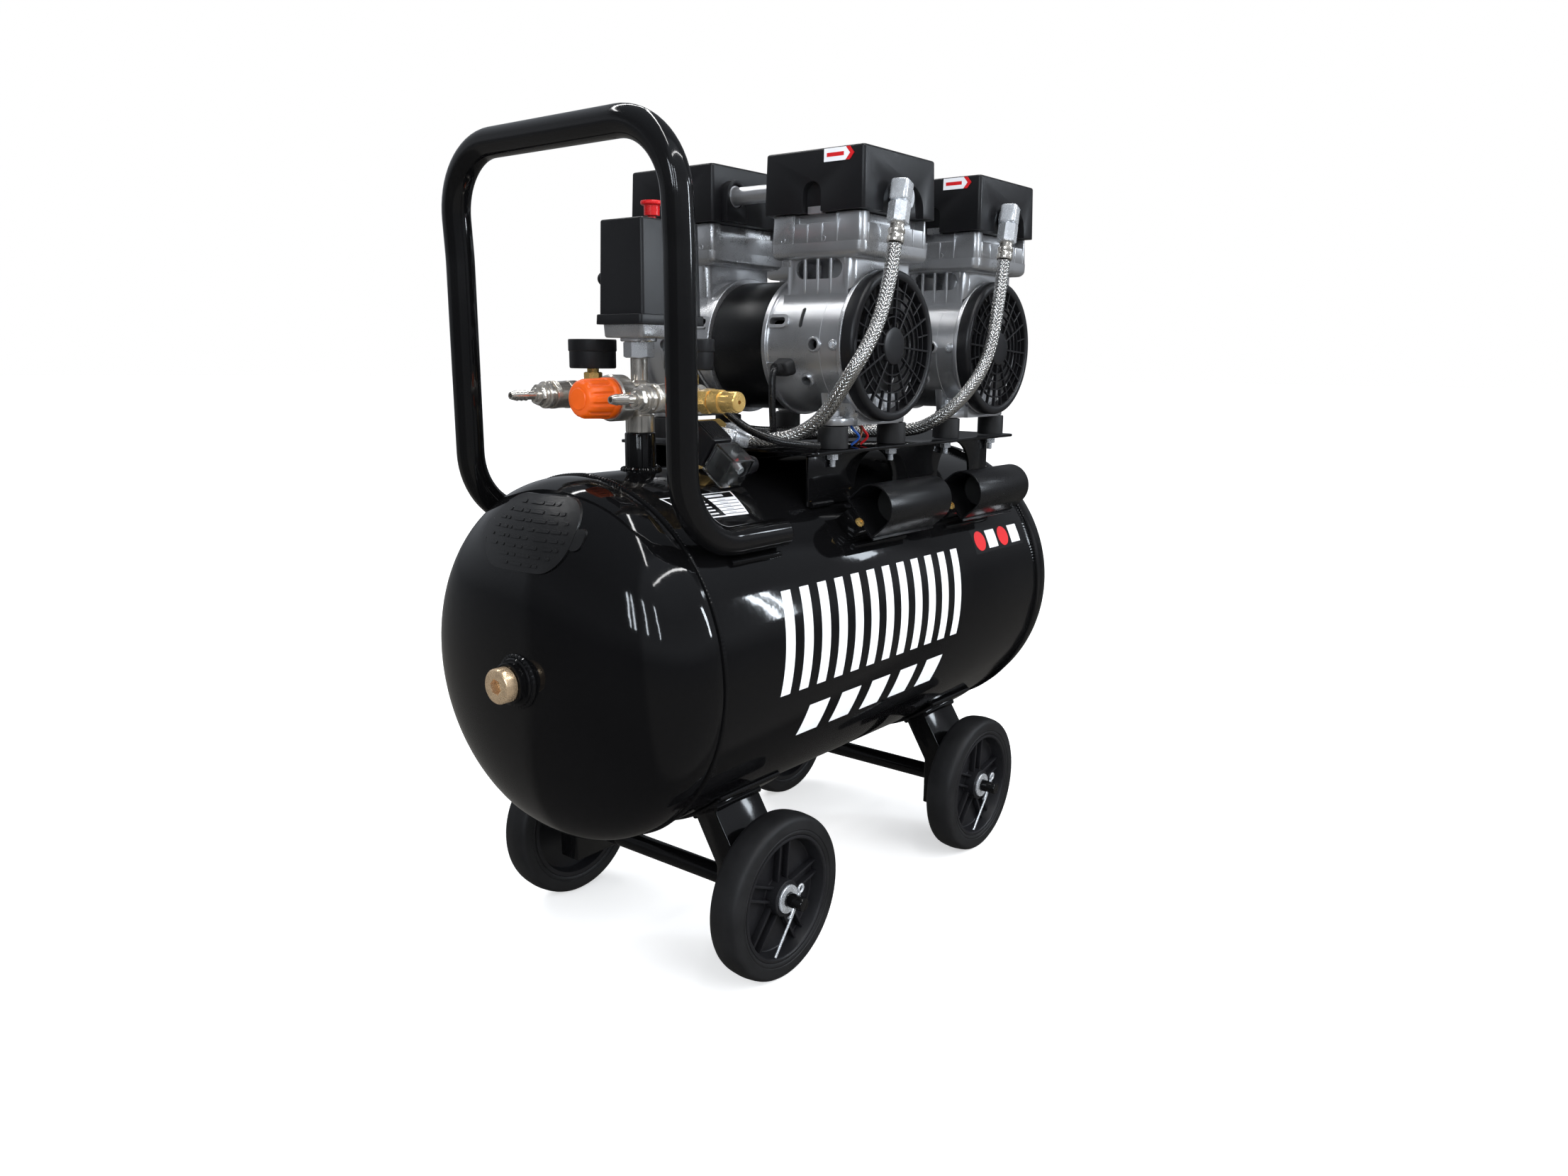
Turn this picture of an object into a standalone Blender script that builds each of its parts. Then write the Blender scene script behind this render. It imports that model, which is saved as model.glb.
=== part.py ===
"""Oil-free twin-pump air compressor on a horizontal 50 litre tank.

Units are metres and +Z is up.  +X runs along the tank, away from the handle.  -Y is the side with the
two capacitor covers.  The wheels stand on Z = 0.  Each object is one physical piece with one material.
"""

from math import cos, pi, radians, sin, sqrt

import bmesh
import bpy
from mathutils import Matrix, Vector

GAP = 0.0004                     # clearance left between pieces that touch

# Placing of the finished model: puts the middle of its box over the origin
SHIFT = Vector((0.0108, 0.0011, 0.0))

# Tank
TANK_R = 0.156
TANK_Z = 0.287
TANK_WALL = 0.0025
TANK_STRAIGHT = 0.269            # half length of the cylindrical part
DOME_DEPTH = 0.087
DOME_POWER = 2.35                # above 2, so fuller than an ellipse
TANK_SIDES = 34
TANK_TOP = TANK_Z + TANK_R
RISER_X = -0.204
RISER_R = 0.01345
RISER_TOP = 0.4752
PLUG_Y = -0.012

# Wheels and axles
WHEEL_R = 0.075
WHEEL_W = 0.030
WHEEL_FACE = 0.1495              # |Y| of a wheel's outer face
WHEEL_XS = {"near": -0.179, "far": 0.172}
TYRE_BORE = 0.0575
WHEEL_SIDES = 28
AXLE_R = 0.009
STUB_R = 0.006
AXLE_END = 0.1665
LEG_Y = 0.104                    # middle of a leg's upright run
LEG_T = 0.025
LEG_W = 0.060
LEG_DIRECTION = (0.53, -0.848)   # the splayed run, down and outwards in (Y, Z)
LEG_KNEE_Z = 0.1054
LEG_FOOT_Z = 0.050
PAD_ANGLE = 29                   # degrees from straight down to the middle of a leg's pad
PAD_HALF_ANGLE = 12
PAD_HALF_LENGTH = 0.042
PAD_T = 0.0035
RIB_COUNT = 5
RIB_T = 0.0024
RIB_APART = 0.011

# Handle
TUBE_R = 0.012
HANDLE_Y = 0.128
HANDLE_TOP = 0.708
HANDLE_FOOT_X = -0.163
HANDLE_X = -0.2865

# Motor-pump units
UNIT_XS = {"1": -0.0146, "2": 0.1882}
SHAFT_Z = 0.5514
DRUM_R = 0.062
DRUM_ENDS = (0.033, 0.1235)      # |Y| of a crankcase's inner and outer rims
GUARD_R = 0.0678
GUARD_FACE = 0.138
GUARD_SPOKES = 10
SHAFT_R = 0.006
HEAD_MID = 0.0858                # |Y| of the middle of each pump head
HEAD_Z = (0.6285, 0.6655)
COVER_Z = (0.6660, 0.7185)
COVER_HALF = (0.0592, 0.0548)
FOOT_R = 0.0138
FOOT_DX = 0.0486
FOOT_Y = 0.105
FOOT_TOP = 0.4797
NECK_HALF = 0.048
CAVITY_R = 0.0565                # inside of a crankcase
CAVITY_ENDS = (0.096, 0.104)     # |Y| of the two faces of its inner wall
FAN_Y = 0.1125
FAN_R = 0.0525
FAN_BLADES = 6
FAN_PITCH = 38                   # degrees
CROSSOVER_DX = -0.032
CROSSOVER_Z = 0.690
ARCH_R = 0.0098                  # recess in a cover's side

# Bed plate on two webs
PLATE_XS = (-0.113, 0.262)
PLATE_HALF = 0.122
PLATE_Z = (0.456, 0.459)
WEB_YS = (0.0985, 0.1015)
WEB_XS = (-0.095, 0.238)
WEB_ARCHES = (0.165, 0.012)      # X of the two cut-outs

# Controls on the riser
BAR_Z = 0.5055
OUTLET_Y = 0.060
COUPLER_Z = BAR_Z + 0.0015
GAUGE_Z = 0.5293
GAUGE_Y = 0.058
BAR_END = 0.0710
SWITCH_X = -0.189
KNOB_X = -0.186
CHECK_VALVE = (-0.150, -0.030)
CHECK_VALVE_Z = 0.4740           # middle of its cross bar

# Capacitor covers
CAP_XS = {"1": (-0.060, 0.046), "2": (0.104, 0.210)}
CAP_LEAN = 39.5                  # degrees above level of the line from the tank's axis
CAP_LIFT = 0.0165                # from the tank's skin to the base
CAP_R = 0.0220
CAP_WALL = 0.0020
CAP_RISE = 0.0175                # base to the middle of the half round

BLACK_GLOSS = ("black_gloss_paint", (0.012, 0.012, 0.013), 0.22, 0.0)
BLACK_MATT = ("black_plastic", (0.020, 0.020, 0.022), 0.50, 0.0)
RUBBER = ("black_rubber", (0.022, 0.022, 0.023), 0.75, 0.0)
CAST = ("cast_aluminium", (0.60, 0.61, 0.62), 0.42, 1.0)
NICKEL = ("nickel_plate", (0.66, 0.64, 0.60), 0.25, 1.0)
ZINC = ("zinc_plate", (0.70, 0.71, 0.72), 0.32, 1.0)
BRASS = ("brass", (0.78, 0.60, 0.28), 0.28, 1.0)
ORANGE = ("orange_plastic", (0.95, 0.27, 0.02), 0.35, 0.0)
RED = ("red_plastic", (0.75, 0.02, 0.02), 0.35, 0.0)
BRAID = ("steel_braid", (0.62, 0.62, 0.63), 0.35, 1.0)

ALONG = {"X": (1, 2, 0), "Y": (0, 2, 1), "Z": (0, 1, 2)}     # the two flat coordinates, then the axis


# ---------------------------------------------------------------- scene and mesh tools

def clear_scene():
    for item in list(bpy.data.objects):
        bpy.data.objects.remove(item, do_unlink=True)


def make_material(node, look):
    label, colour, roughness, metallic = look
    mat = bpy.data.materials.new(f"{label}.{node}")
    mat.use_nodes = True
    shader = mat.node_tree.nodes["Principled BSDF"]
    shader.inputs["Base Color"].default_value = (*colour, 1.0)
    shader.inputs["Roughness"].default_value = roughness
    shader.inputs["Metallic"].default_value = metallic
    return mat


def from_bmesh(name, bm):
    """Close a bmesh into an object with its normals facing out."""
    bmesh.ops.remove_doubles(bm, verts=bm.verts, dist=1e-7)
    bmesh.ops.recalc_face_normals(bm, faces=bm.faces)
    mesh = bpy.data.meshes.new(name)
    bm.to_mesh(mesh)
    bm.free()
    item = bpy.data.objects.new(name, mesh)
    bpy.context.collection.objects.link(item)
    return item


def finish(item, look, origin=None):
    """Give a finished piece its material and, for a moving piece, its origin on the joint's axis."""
    item.data.materials.clear()
    item.data.materials.append(make_material(item.name, look))
    if origin is not None:
        item.data.transform(Matrix.Translation(-Vector(origin)))
        item.location = Vector(origin)
    return item


def point(axis, a, b, along):
    """A 3-D point from two flat coordinates and the distance along an axis."""
    first, second, third = ALONG[axis]
    place = [0.0, 0.0, 0.0]
    place[first] = a
    place[second] = b
    place[third] = along
    return Vector(place)


def lathe(name, axis, centre, profile, sides, turn=0.0):
    """Turn a section of (radius, along) points about an axis; a section off the axis makes a ring."""
    bm = bmesh.new()
    rings = []
    for radius, along in profile:
        count = sides if radius > 1e-6 else 1
        ring = []
        for k in range(count):
            angle = 2 * pi * k / sides + turn
            ring.append(bm.verts.new(point(axis, centre[0] + radius * cos(angle),
                                           centre[1] + radius * sin(angle), along)))
        rings.append(ring)
    pairs = list(zip(rings, rings[1:]))
    if len(rings[0]) > 1 and len(rings[-1]) > 1:
        pairs.append((rings[-1], rings[0]))
    for one, two in pairs:
        for k in range(sides):
            after = (k + 1) % sides
            corners = [one[k % len(one)], one[after % len(one)], two[after % len(two)], two[k % len(two)]]
            unique = list(dict.fromkeys(corners))
            if len(unique) > 2:
                bm.faces.new(unique)
    return from_bmesh(name, bm)


def rod(name, axis, centre, radius, low, high, sides=24, turn=0.0):
    """A plain cylinder, or a hexagonal bar when sides is 6."""
    return lathe(name, axis, centre, [(0, low), (radius, low), (radius, high), (0, high)], sides, turn)


def prism(name, axis, outline, low, high, round_edges=0.0, steps=2, only_long=False):
    """Extrude a flat outline along an axis, with its edges rounded if asked."""
    bm = bmesh.new()
    floor = [bm.verts.new(point(axis, a, b, low)) for a, b in outline]
    bm.faces.new(floor)
    grown = bmesh.ops.extrude_face_region(bm, geom=bm.faces[:])
    top = [v for v in grown["geom"] if isinstance(v, bmesh.types.BMVert)]
    bmesh.ops.translate(bm, verts=top, vec=point(axis, 0, 0, high - low))
    bmesh.ops.recalc_face_normals(bm, faces=bm.faces)
    if round_edges:
        third = ALONG[axis][2]
        edges = [e for e in bm.edges
                 if not only_long or abs(e.verts[0].co[third] - e.verts[1].co[third]) > 1e-6]
        bmesh.ops.bevel(bm, geom=edges, offset=round_edges, segments=steps, profile=0.5, affect="EDGES")
    return from_bmesh(name, bm)


def box(name, xs, ys, zs, round_edges=0.0, steps=2):
    outline = [(xs[0], ys[0]), (xs[1], ys[0]), (xs[1], ys[1]), (xs[0], ys[1])]
    return prism(name, "Z", outline, zs[0], zs[1], round_edges, steps)


def both_ways(side, a, b):
    """The span from a to b on the side given by a sign, low end first."""
    return min(side * a, side * b), max(side * a, side * b)


def arc(centre, radius, start, end, steps):
    """Points on an arc, angles in degrees."""
    angles = [radians(start + (end - start) * k / steps) for k in range(steps + 1)]
    return [(centre[0] + radius * cos(a), centre[1] + radius * sin(a)) for a in angles]


def tapered_box(name, low_half, high_half, middle, zs, round_edges):
    """A block whose top is a little smaller than its foot, as a moulding with draft."""
    bm = bmesh.new()
    corners = []
    for z, half in ((zs[0], low_half), (zs[1], high_half)):
        for sx, sy in ((-1, -1), (1, -1), (1, 1), (-1, 1)):
            corners.append(bm.verts.new((middle[0] + sx * half[0], middle[1] + sy * half[1], z)))
    bmesh.ops.convex_hull(bm, input=corners)
    bmesh.ops.dissolve_limit(bm, angle_limit=0.01, verts=bm.verts, edges=bm.edges)
    if round_edges:
        bmesh.ops.bevel(bm, geom=bm.edges[:], offset=round_edges, segments=2, profile=0.5, affect="EDGES")
    return from_bmesh(name, bm)


def rounded_path(corners, steps=6):
    """A line through (point, fillet radius) corners, with each corner turned on an arc."""
    line = [Vector(corners[0][0])]
    for (a, _), (b, radius), (c, _) in zip(corners, corners[1:], corners[2:]):
        a, b, c = Vector(a), Vector(b), Vector(c)
        back, ahead = (a - b).normalized(), (c - b).normalized()
        if radius <= 0:
            line.append(b)
            continue
        half = back.angle(ahead) / 2
        reach = radius / (sin(half) / cos(half))
        heart = b + (back + ahead).normalized() * (radius / sin(half))
        start, end = b + back * reach - heart, b + ahead * reach - heart
        for k in range(steps + 1):
            line.append(heart + start.normalized().slerp(end.normalized(), k / steps) * radius)
    line.append(Vector(corners[-1][0]))
    return line


def sweep(name, line, radius, sides, blunt=0.0):
    """A round bar along a line, its ends chamfered by blunt."""
    bm = bmesh.new()
    scales = [1.0] * len(line)
    if blunt:
        first = (line[1] - line[0]).normalized()
        last = (line[-1] - line[-2]).normalized()
        line = [line[0], line[0] + first * blunt] + line[1:-1] + [line[-1] - last * blunt, line[-1]]
        scales = [1 - 0.6 * blunt / radius] + [1.0] * (len(line) - 2) + [1 - 0.6 * blunt / radius]
    side = Vector((0, 0, 1)) if abs((line[1] - line[0]).normalized().z) < 0.9 else Vector((1, 0, 0))
    rings = []
    for k, place in enumerate(line):
        before = line[max(k - 1, 0)]
        after = line[min(k + 1, len(line) - 1)]
        ahead = (after - before).normalized()
        side = (side - ahead * side.dot(ahead)).normalized()
        across = ahead.cross(side)
        ring = []
        for s in range(sides):
            angle = 2 * pi * s / sides
            reach = radius * scales[k]
            ring.append(bm.verts.new(place + side * reach * cos(angle) + across * reach * sin(angle)))
        rings.append(ring)
    for one, two in zip(rings, rings[1:]):
        for s in range(sides):
            t = (s + 1) % sides
            bm.faces.new((one[s], one[t], two[t], two[s]))
    bm.faces.new(rings[0])
    bm.faces.new(rings[-1])
    return from_bmesh(name, bm)


def bake(item):
    """Turn an object's modifiers into plain mesh."""
    bpy.context.view_layer.update()
    graph = bpy.context.evaluated_depsgraph_get()
    mesh = bpy.data.meshes.new_from_object(item.evaluated_get(graph))
    item.modifiers.clear()
    item.data = mesh


def combine(target, operation, *tools):
    """Cut tools from a piece or weld them to it, then drop the tools."""
    for tool in tools:
        step = target.modifiers.new("Shape", "BOOLEAN")
        step.operation = operation
        step.solver = "EXACT"
        step.object = tool
        bake(target)
        bpy.data.objects.remove(tool, do_unlink=True)
    bm = bmesh.new()
    bm.from_mesh(target.data)
    bmesh.ops.remove_doubles(bm, verts=bm.verts, dist=2e-6)
    bmesh.ops.dissolve_degenerate(bm, dist=2e-6, edges=bm.edges)
    bm.to_mesh(target.data)
    bm.free()
    return target


def weld(target, *tools):
    return combine(target, "UNION", *tools)


def cut(target, *tools):
    return combine(target, "DIFFERENCE", *tools)


def cord(name, route, radius, sides_power):
    """A cable or hose along a smooth line through its route's own points."""
    points = smooth(route, max(0.010, 4.5 * radius))
    curve = bpy.data.curves.new(name, "CURVE")
    curve.dimensions = "3D"
    curve.bevel_depth = radius
    curve.bevel_resolution = sides_power
    curve.use_fill_caps = True
    spline = curve.splines.new("POLY")
    spline.points.add(len(points) - 1)
    for slot, place in zip(spline.points, points):
        slot.co = (*place, 1.0)
    item = bpy.data.objects.new(name, curve)
    bpy.context.collection.objects.link(item)
    return item


def smooth(route, spacing):
    """Points about evenly spaced on a Catmull-Rom curve through the route."""
    knots = [Vector(p) for p in route]
    ends = [knots[0] * 2 - knots[1]] + knots + [knots[-1] * 2 - knots[-2]]
    dense = []
    for a, b, c, d in zip(ends, ends[1:], ends[2:], ends[3:]):
        for k in range(20):
            t = k / 20
            dense.append(0.5 * (2 * b + (c - a) * t + (2 * a - 5 * b + 4 * c - d) * t ** 2
                                + (3 * b - a - 3 * c + d) * t ** 3))
    dense.append(knots[-1])
    total = sum((b - a).length for a, b in zip(dense, dense[1:]))
    count = max(2, round(total / spacing))
    picked = [dense[0]]
    walked = 0.0
    for a, b in zip(dense, dense[1:]):
        walked += (b - a).length
        if walked >= total * len(picked) / count and len(picked) < count:
            picked.append(b)
    picked.append(dense[-1])
    return picked


# ---------------------------------------------------------------- tank, handle and running gear

def dome(radius, depth, steps):
    """(radius, distance past the straight part) from the rim to the pole."""
    ladder = [sin(pi / 2 * k / steps) for k in range(steps + 1)]
    return [(radius * (1 - t ** DOME_POWER) ** (1 / DOME_POWER), depth * t) for t in ladder]


def make_tank():
    """Hollow welded shell with its weld beads, riser pipe, drain hole and plug socket."""
    rim = dome(TANK_R, DOME_DEPTH, 6)
    bead = [(TANK_R, 0.263), (TANK_R + 0.0018, 0.266), (TANK_R + 0.0018, 0.272)]
    half = bead + [(r, TANK_STRAIGHT + 0.004 + d * 0.954) for r, d in rim[1:]]
    outer = [(r, -x) for r, x in reversed(half)] + half
    tank = lathe("tank", "X", (0, TANK_Z), outer, TANK_SIDES)
    inner_rim = dome(TANK_R - TANK_WALL, DOME_DEPTH - TANK_WALL, 2)
    inside = [(r, TANK_STRAIGHT + d) for r, d in inner_rim]
    hollow = lathe("hollow", "X", (0, TANK_Z), [(r, -x) for r, x in reversed(inside)] + inside, TANK_SIDES)
    foot = TANK_TOP - 0.010
    riser = rod("riser", "Z", (RISER_X, 0), RISER_R, foot, RISER_TOP, 18, 0.11)
    fillet = lathe("fillet", "Z", (RISER_X, 0),
                   [(0, foot), (0.0185, foot), (0.0180, TANK_TOP + 0.001), (0.0145, TANK_TOP + 0.007),
                    (0, TANK_TOP + 0.007)], 18, 0.07)
    socket = lathe("socket", "X", (PLUG_Y, TANK_Z),
                   [(0, -0.345), (0.0195, -0.345), (0.0195, -0.3610), (0.0160, -0.3625),
                    (0.0160, -0.3660), (0, -0.3660)], 20, 0.05)
    belly = TANK_Z - TANK_R
    drain_boss = rod("drain_boss", "Z", (0, 0), 0.011, belly - 0.008, belly + 0.004, 12, 0.09)
    weld(tank, riser, fillet, socket, drain_boss)
    bore = rod("bore", "Z", (RISER_X, 0), 0.0105, TANK_TOP - 0.03, RISER_TOP + 0.01, 14, 0.13)
    cut(tank, hollow, bore)
    return finish(tank, BLACK_GLOSS)


def make_plug():
    """Steel closing plug with a hexagon socket in its face."""
    face = -0.3775
    start = -0.3660 - GAP
    plug = lathe("tank_plug", "X", (PLUG_Y, TANK_Z),
                 [(0, start), (0.0136, start), (0.0141, start - 0.001), (0.0141, face + 0.0015),
                  (0.0128, face), (0, face)], 20)
    cut(plug, rod("key", "X", (PLUG_Y, TANK_Z), 0.0062, face - 0.002, face + 0.008, 6, radians(30)))
    finish(plug, BRASS)


def make_handle():
    """One bent tube: both feet lie on the tank, and the loop stands at its -X end."""
    lie_z = TANK_Z + sqrt((TANK_R + TUBE_R + GAP) ** 2 - HANDLE_Y ** 2)
    half = [
        ((HANDLE_FOOT_X, -HANDLE_Y, lie_z), 0),
        ((HANDLE_X, -HANDLE_Y, lie_z), 0.060),
        ((HANDLE_X - 0.002, -HANDLE_Y, 0.620), 0.0),
        ((HANDLE_X - 0.007, -HANDLE_Y, HANDLE_TOP), 0.056),
    ]
    other = [((x, -y, z), r) for (x, y, z), r in reversed(half)]
    finish(sweep("handle", rounded_path(half + other, 5), TUBE_R, 12, blunt=0.003), BLACK_GLOSS)


def leg_outline(side):
    """The bent leg seen along X: splayed under the tank, then upright beside the wheel."""
    slope = Vector(LEG_DIRECTION)
    out = Vector((-slope.y, slope.x)) * (LEG_T / 2)
    knee = Vector((LEG_Y, LEG_KNEE_Z))
    start = knee - slope * 0.085
    half = LEG_T / 2
    shape = [
        start + out,
        knee + out + slope * 0.004,
        Vector((LEG_Y + half, 0.094)),
        Vector((LEG_Y + half, LEG_FOOT_Z)),
        Vector((LEG_Y - half, LEG_FOOT_Z)),
        Vector((LEG_Y - half, 0.100)),
        start - out,
    ]
    return [(side * p.x, p.y) for p in shape]


def make_undercarriage(place, x):
    """A pair of legs, the axle bar between them and the two stub axles, all welded together."""
    legs = []
    for side in (-1, 1):
        leg = prism("leg", "X", leg_outline(side), x - LEG_W / 2, x + LEG_W / 2, 0.004, 1, only_long=True)
        cut(leg, rod("belly", "X", (0, TANK_Z), TANK_R + 0.0016, x - 0.08, x + 0.08, 60, 0.01))
        low, high = 270 + side * PAD_ANGLE - PAD_HALF_ANGLE, 270 + side * PAD_ANGLE + PAD_HALF_ANGLE
        pad_in = TANK_R + GAP
        pad = prism("pad", "X",
                    arc((0, TANK_Z), pad_in + PAD_T, low, high, 8) + arc((0, TANK_Z), pad_in, high, low, 8),
                    x - PAD_HALF_LENGTH, x + PAD_HALF_LENGTH)
        legs.append(weld(leg, pad))
    bar = rod(f"undercarriage_{place}", "Y", (x, WHEEL_R), AXLE_R, -LEG_Y, LEG_Y, 14)
    for side in (-1, 1):
        stub = lathe("stub", "Y", (x, WHEEL_R),
                     [(0, side * (LEG_Y - 0.005)), (STUB_R, side * (LEG_Y - 0.005)),
                      (STUB_R, side * (AXLE_END - 0.001)), (STUB_R - 0.001, side * AXLE_END),
                      (0, side * AXLE_END)], 12, 0.05)
        shoulder = rod("shoulder", "Y", (x, WHEEL_R), 0.0085, *both_ways(side, 0.100, 0.1188), 16, 0.1)
        weld(bar, stub, shoulder)
    weld(bar, *legs)
    finish(bar, BLACK_GLOSS)


def wheel_names():
    for place, x in WHEEL_XS.items():
        for side, letter in ((-1, "right"), (1, "left")):
            yield f"{place}_{letter}", x, side


def make_tyre(name, x, side):
    """Solid rubber tyre with a flat of its tread on the ground."""
    out, inn = WHEEL_FACE, WHEEL_FACE - WHEEL_W
    scale = 1 / cos(pi / WHEEL_SIDES)
    tread = WHEEL_R * scale
    section = [
        (TYRE_BORE, inn + 0.0010), (0.0695 * scale, inn), (tread, inn + 0.0055),
        (tread, out - 0.0055), (0.0695 * scale, out), (TYRE_BORE, out - 0.0010),
    ]
    turn = pi / WHEEL_SIDES + pi / 2
    tyre = lathe(f"tyre_{name}", "Y", (x, WHEEL_R), [(r, side * y) for r, y in section], WHEEL_SIDES, turn)
    finish(tyre, RUBBER, (x, side * (out + inn) / 2, WHEEL_R))


def make_hub(name, x, side):
    """Plastic wheel centre: rim, thin disc, boss and five pairs of ribs on the outer face."""
    out, inn = WHEEL_FACE, WHEEL_FACE - WHEEL_W
    rim_r = TYRE_BORE * cos(pi / WHEEL_SIDES) - GAP
    bore_r = STUB_R + GAP
    section = [
        (bore_r, inn + 0.0008), (0.0150, inn + 0.0008), (0.0150, inn + 0.0110), (0.0515, inn + 0.0110),
        (0.0525, inn + 0.0020), (rim_r, inn + 0.0020), (rim_r, out - 0.0014), (0.0530, out - 0.0014),
        (0.0515, out - 0.0130), (0.0150, out - 0.0130), (0.0145, out - 0.0030), (bore_r, out - 0.0030),
    ]
    hub = lathe(f"hub_{name}", "Y", (x, WHEEL_R), [(r, side * y) for r, y in section], 16)
    for k in range(RIB_COUNT):
        angle = radians(90 + 360 * k / RIB_COUNT)
        ahead = Vector((cos(angle), sin(angle)))
        across = Vector((-ahead.y, ahead.x))
        for offset in (-RIB_APART / 2, RIB_APART / 2):
            base = Vector((x, WHEEL_R)) + across * offset
            ends = [tuple(base + ahead * reach + across * (way * RIB_T / 2))
                    for reach, way in ((0.0132, -1), (0.0521, -1), (0.0521, 1), (0.0132, 1))]
            weld(hub, prism("rib", "Y", ends, *both_ways(side, out - 0.0145, out - 0.0085)))
    finish(hub, BLACK_MATT, (x, side * (out + inn) / 2, WHEEL_R))


# ---------------------------------------------------------------- base plate and feet

def make_mount_plate():
    """Bed plate on two upright webs whose round cut-outs clear the tank fittings."""
    bed = box("mount_plate", PLATE_XS, (-PLATE_HALF, PLATE_HALF), PLATE_Z)
    low_z = TANK_Z + sqrt((TANK_R + GAP) ** 2 - WEB_YS[0] ** 2)
    top_z = PLATE_Z[0] + 0.001
    outline = [(WEB_XS[0], low_z), (WEB_XS[0], top_z), (WEB_XS[1], top_z), (WEB_XS[1], low_z)]
    for middle in WEB_ARCHES:
        hump = arc((middle, 0.420), 0.034, 0, 180, 8)
        outline += [(middle + 0.036, low_z)] + hump + [(middle - 0.036, low_z)]
    for side in (-1, 1):
        weld(bed, prism("web", "Y", outline, *both_ways(side, *WEB_YS)))
    finish(bed, BLACK_GLOSS)


def make_feet():
    for unit, middle in UNIT_XS.items():
        for end, sy in (("front", -1), ("rear", 1)):
            for letter, sx in (("a", -1), ("b", 1)):
                foot = lathe(f"rubber_foot_{unit}_{end}_{letter}", "Z",
                             (middle + sx * FOOT_DX, sy * FOOT_Y),
                             [(0, PLATE_Z[1] + GAP), (FOOT_R, PLATE_Z[1] + GAP),
                              (FOOT_R, FOOT_TOP), (0, FOOT_TOP)], 16)
                finish(foot, RUBBER)


# ---------------------------------------------------------------- motor-pump units

def make_stator(unit, x):
    """Motor shell with its windings as one thick ring round the rotor."""
    end = DRUM_ENDS[0] - GAP
    ring = lathe(f"stator_{unit}", "Y", (x, SHAFT_Z),
                 [(0.0125, -end), (0.0600, -end), (0.0600, end), (0.0125, end)], 32)
    finish(ring, BLACK_GLOSS)


def make_pump(unit, x, end, side):
    """One pump casting: crankcase drum with its foot, cylinder neck, flange and finned head."""
    inner, outer = DRUM_ENDS
    wall_in, wall_out = CAVITY_ENDS
    pump = rod(f"pump_{end}_{unit}", "Y", (x, SHAFT_Z), DRUM_R, *both_ways(side, inner, outer), 28)
    foot = box("foot", (x - 0.052, x + 0.052), both_ways(side, 0.0882, 0.1221),
               (FOOT_TOP + GAP, 0.5023), 0.003, 1)
    neck = box("neck", (x - NECK_HALF, x + NECK_HALF), both_ways(side, 0.047, 0.1229),
               (0.575, HEAD_Z[0] + 0.0012), 0.006, 1)
    half_x, half_y = COVER_HALF[0] - 0.004, COVER_HALF[1] - 0.004
    flange = box("flange", (x - half_x, x + half_x), both_ways(side, HEAD_MID - half_y, HEAD_MID + half_y),
                 (HEAD_Z[0], HEAD_Z[0] + 0.0115), 0.004, 1)
    half_x, half_y = half_x - 0.001, half_y - 0.001
    head = box("head", (x - half_x, x + half_x), both_ways(side, HEAD_MID - half_y, HEAD_MID + half_y),
               (HEAD_Z[0] + 0.006, HEAD_Z[1]), 0.002, 1)
    weld(pump, foot, neck, flange, head)
    cut(pump,
        rod("fan_space", "Y", (x, SHAFT_Z), CAVITY_R, *both_ways(side, wall_out, outer + 0.01), 28),
        rod("crank_space", "Y", (x, SHAFT_Z), CAVITY_R, *both_ways(side, inner - 0.01, wall_in), 28),
        rod("shaft_hole", "Y", (x, SHAFT_Z), SHAFT_R + 0.0015, *both_ways(side, 0.090, 0.110), 12, 0.05))
    cut(pump,
        rod("port", "X", (side * 0.0885, SHAFT_Z + 0.0003), 0.0048, x - 0.08, x + 0.08, 10, 0.1),
        box("slot", (x - 0.08, x + 0.08), both_ways(side, 0.0462, 0.0581), (0.5677, 0.5741)))
    finish(pump, CAST)


def make_cover(unit, x, end, side):
    """Square plastic silencer cover with an arched recess on each visible side."""
    hx, hy = COVER_HALF
    middle = (x, side * HEAD_MID)
    cover = tapered_box(f"cover_{end}_{unit}", (hx, hy), (hx - 0.0012, hy - 0.0012), middle, COVER_Z, 0.0045)
    low = COVER_Z[0] - 0.001
    for sx in (-1, 1):
        y0 = side * (HEAD_MID - 0.001)
        arch = [(y0 - ARCH_R, low), (y0 + ARCH_R, low)] + arc((y0, 0.6817), ARCH_R, 0, 180, 6)
        edge = sx * x + hx
        cut(cover, prism("recess", "X", arch, *both_ways(sx, edge - 0.004, edge + 0.010)))
    face = HEAD_MID + hy
    x0 = x + 0.0044
    half, corner = 0.033, 0.020
    arch = ([(x0 - half, low), (x0 + half, low)]
            + arc((x0 + half - corner, 0.6725), corner, 0, 90, 4)
            + arc((x0 - half + corner, 0.6725), corner, 90, 180, 4))
    cut(cover, prism("recess", "Y", arch, *both_ways(side, face - 0.006, face + 0.010)))
    finish(cover, BLACK_MATT)


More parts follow.
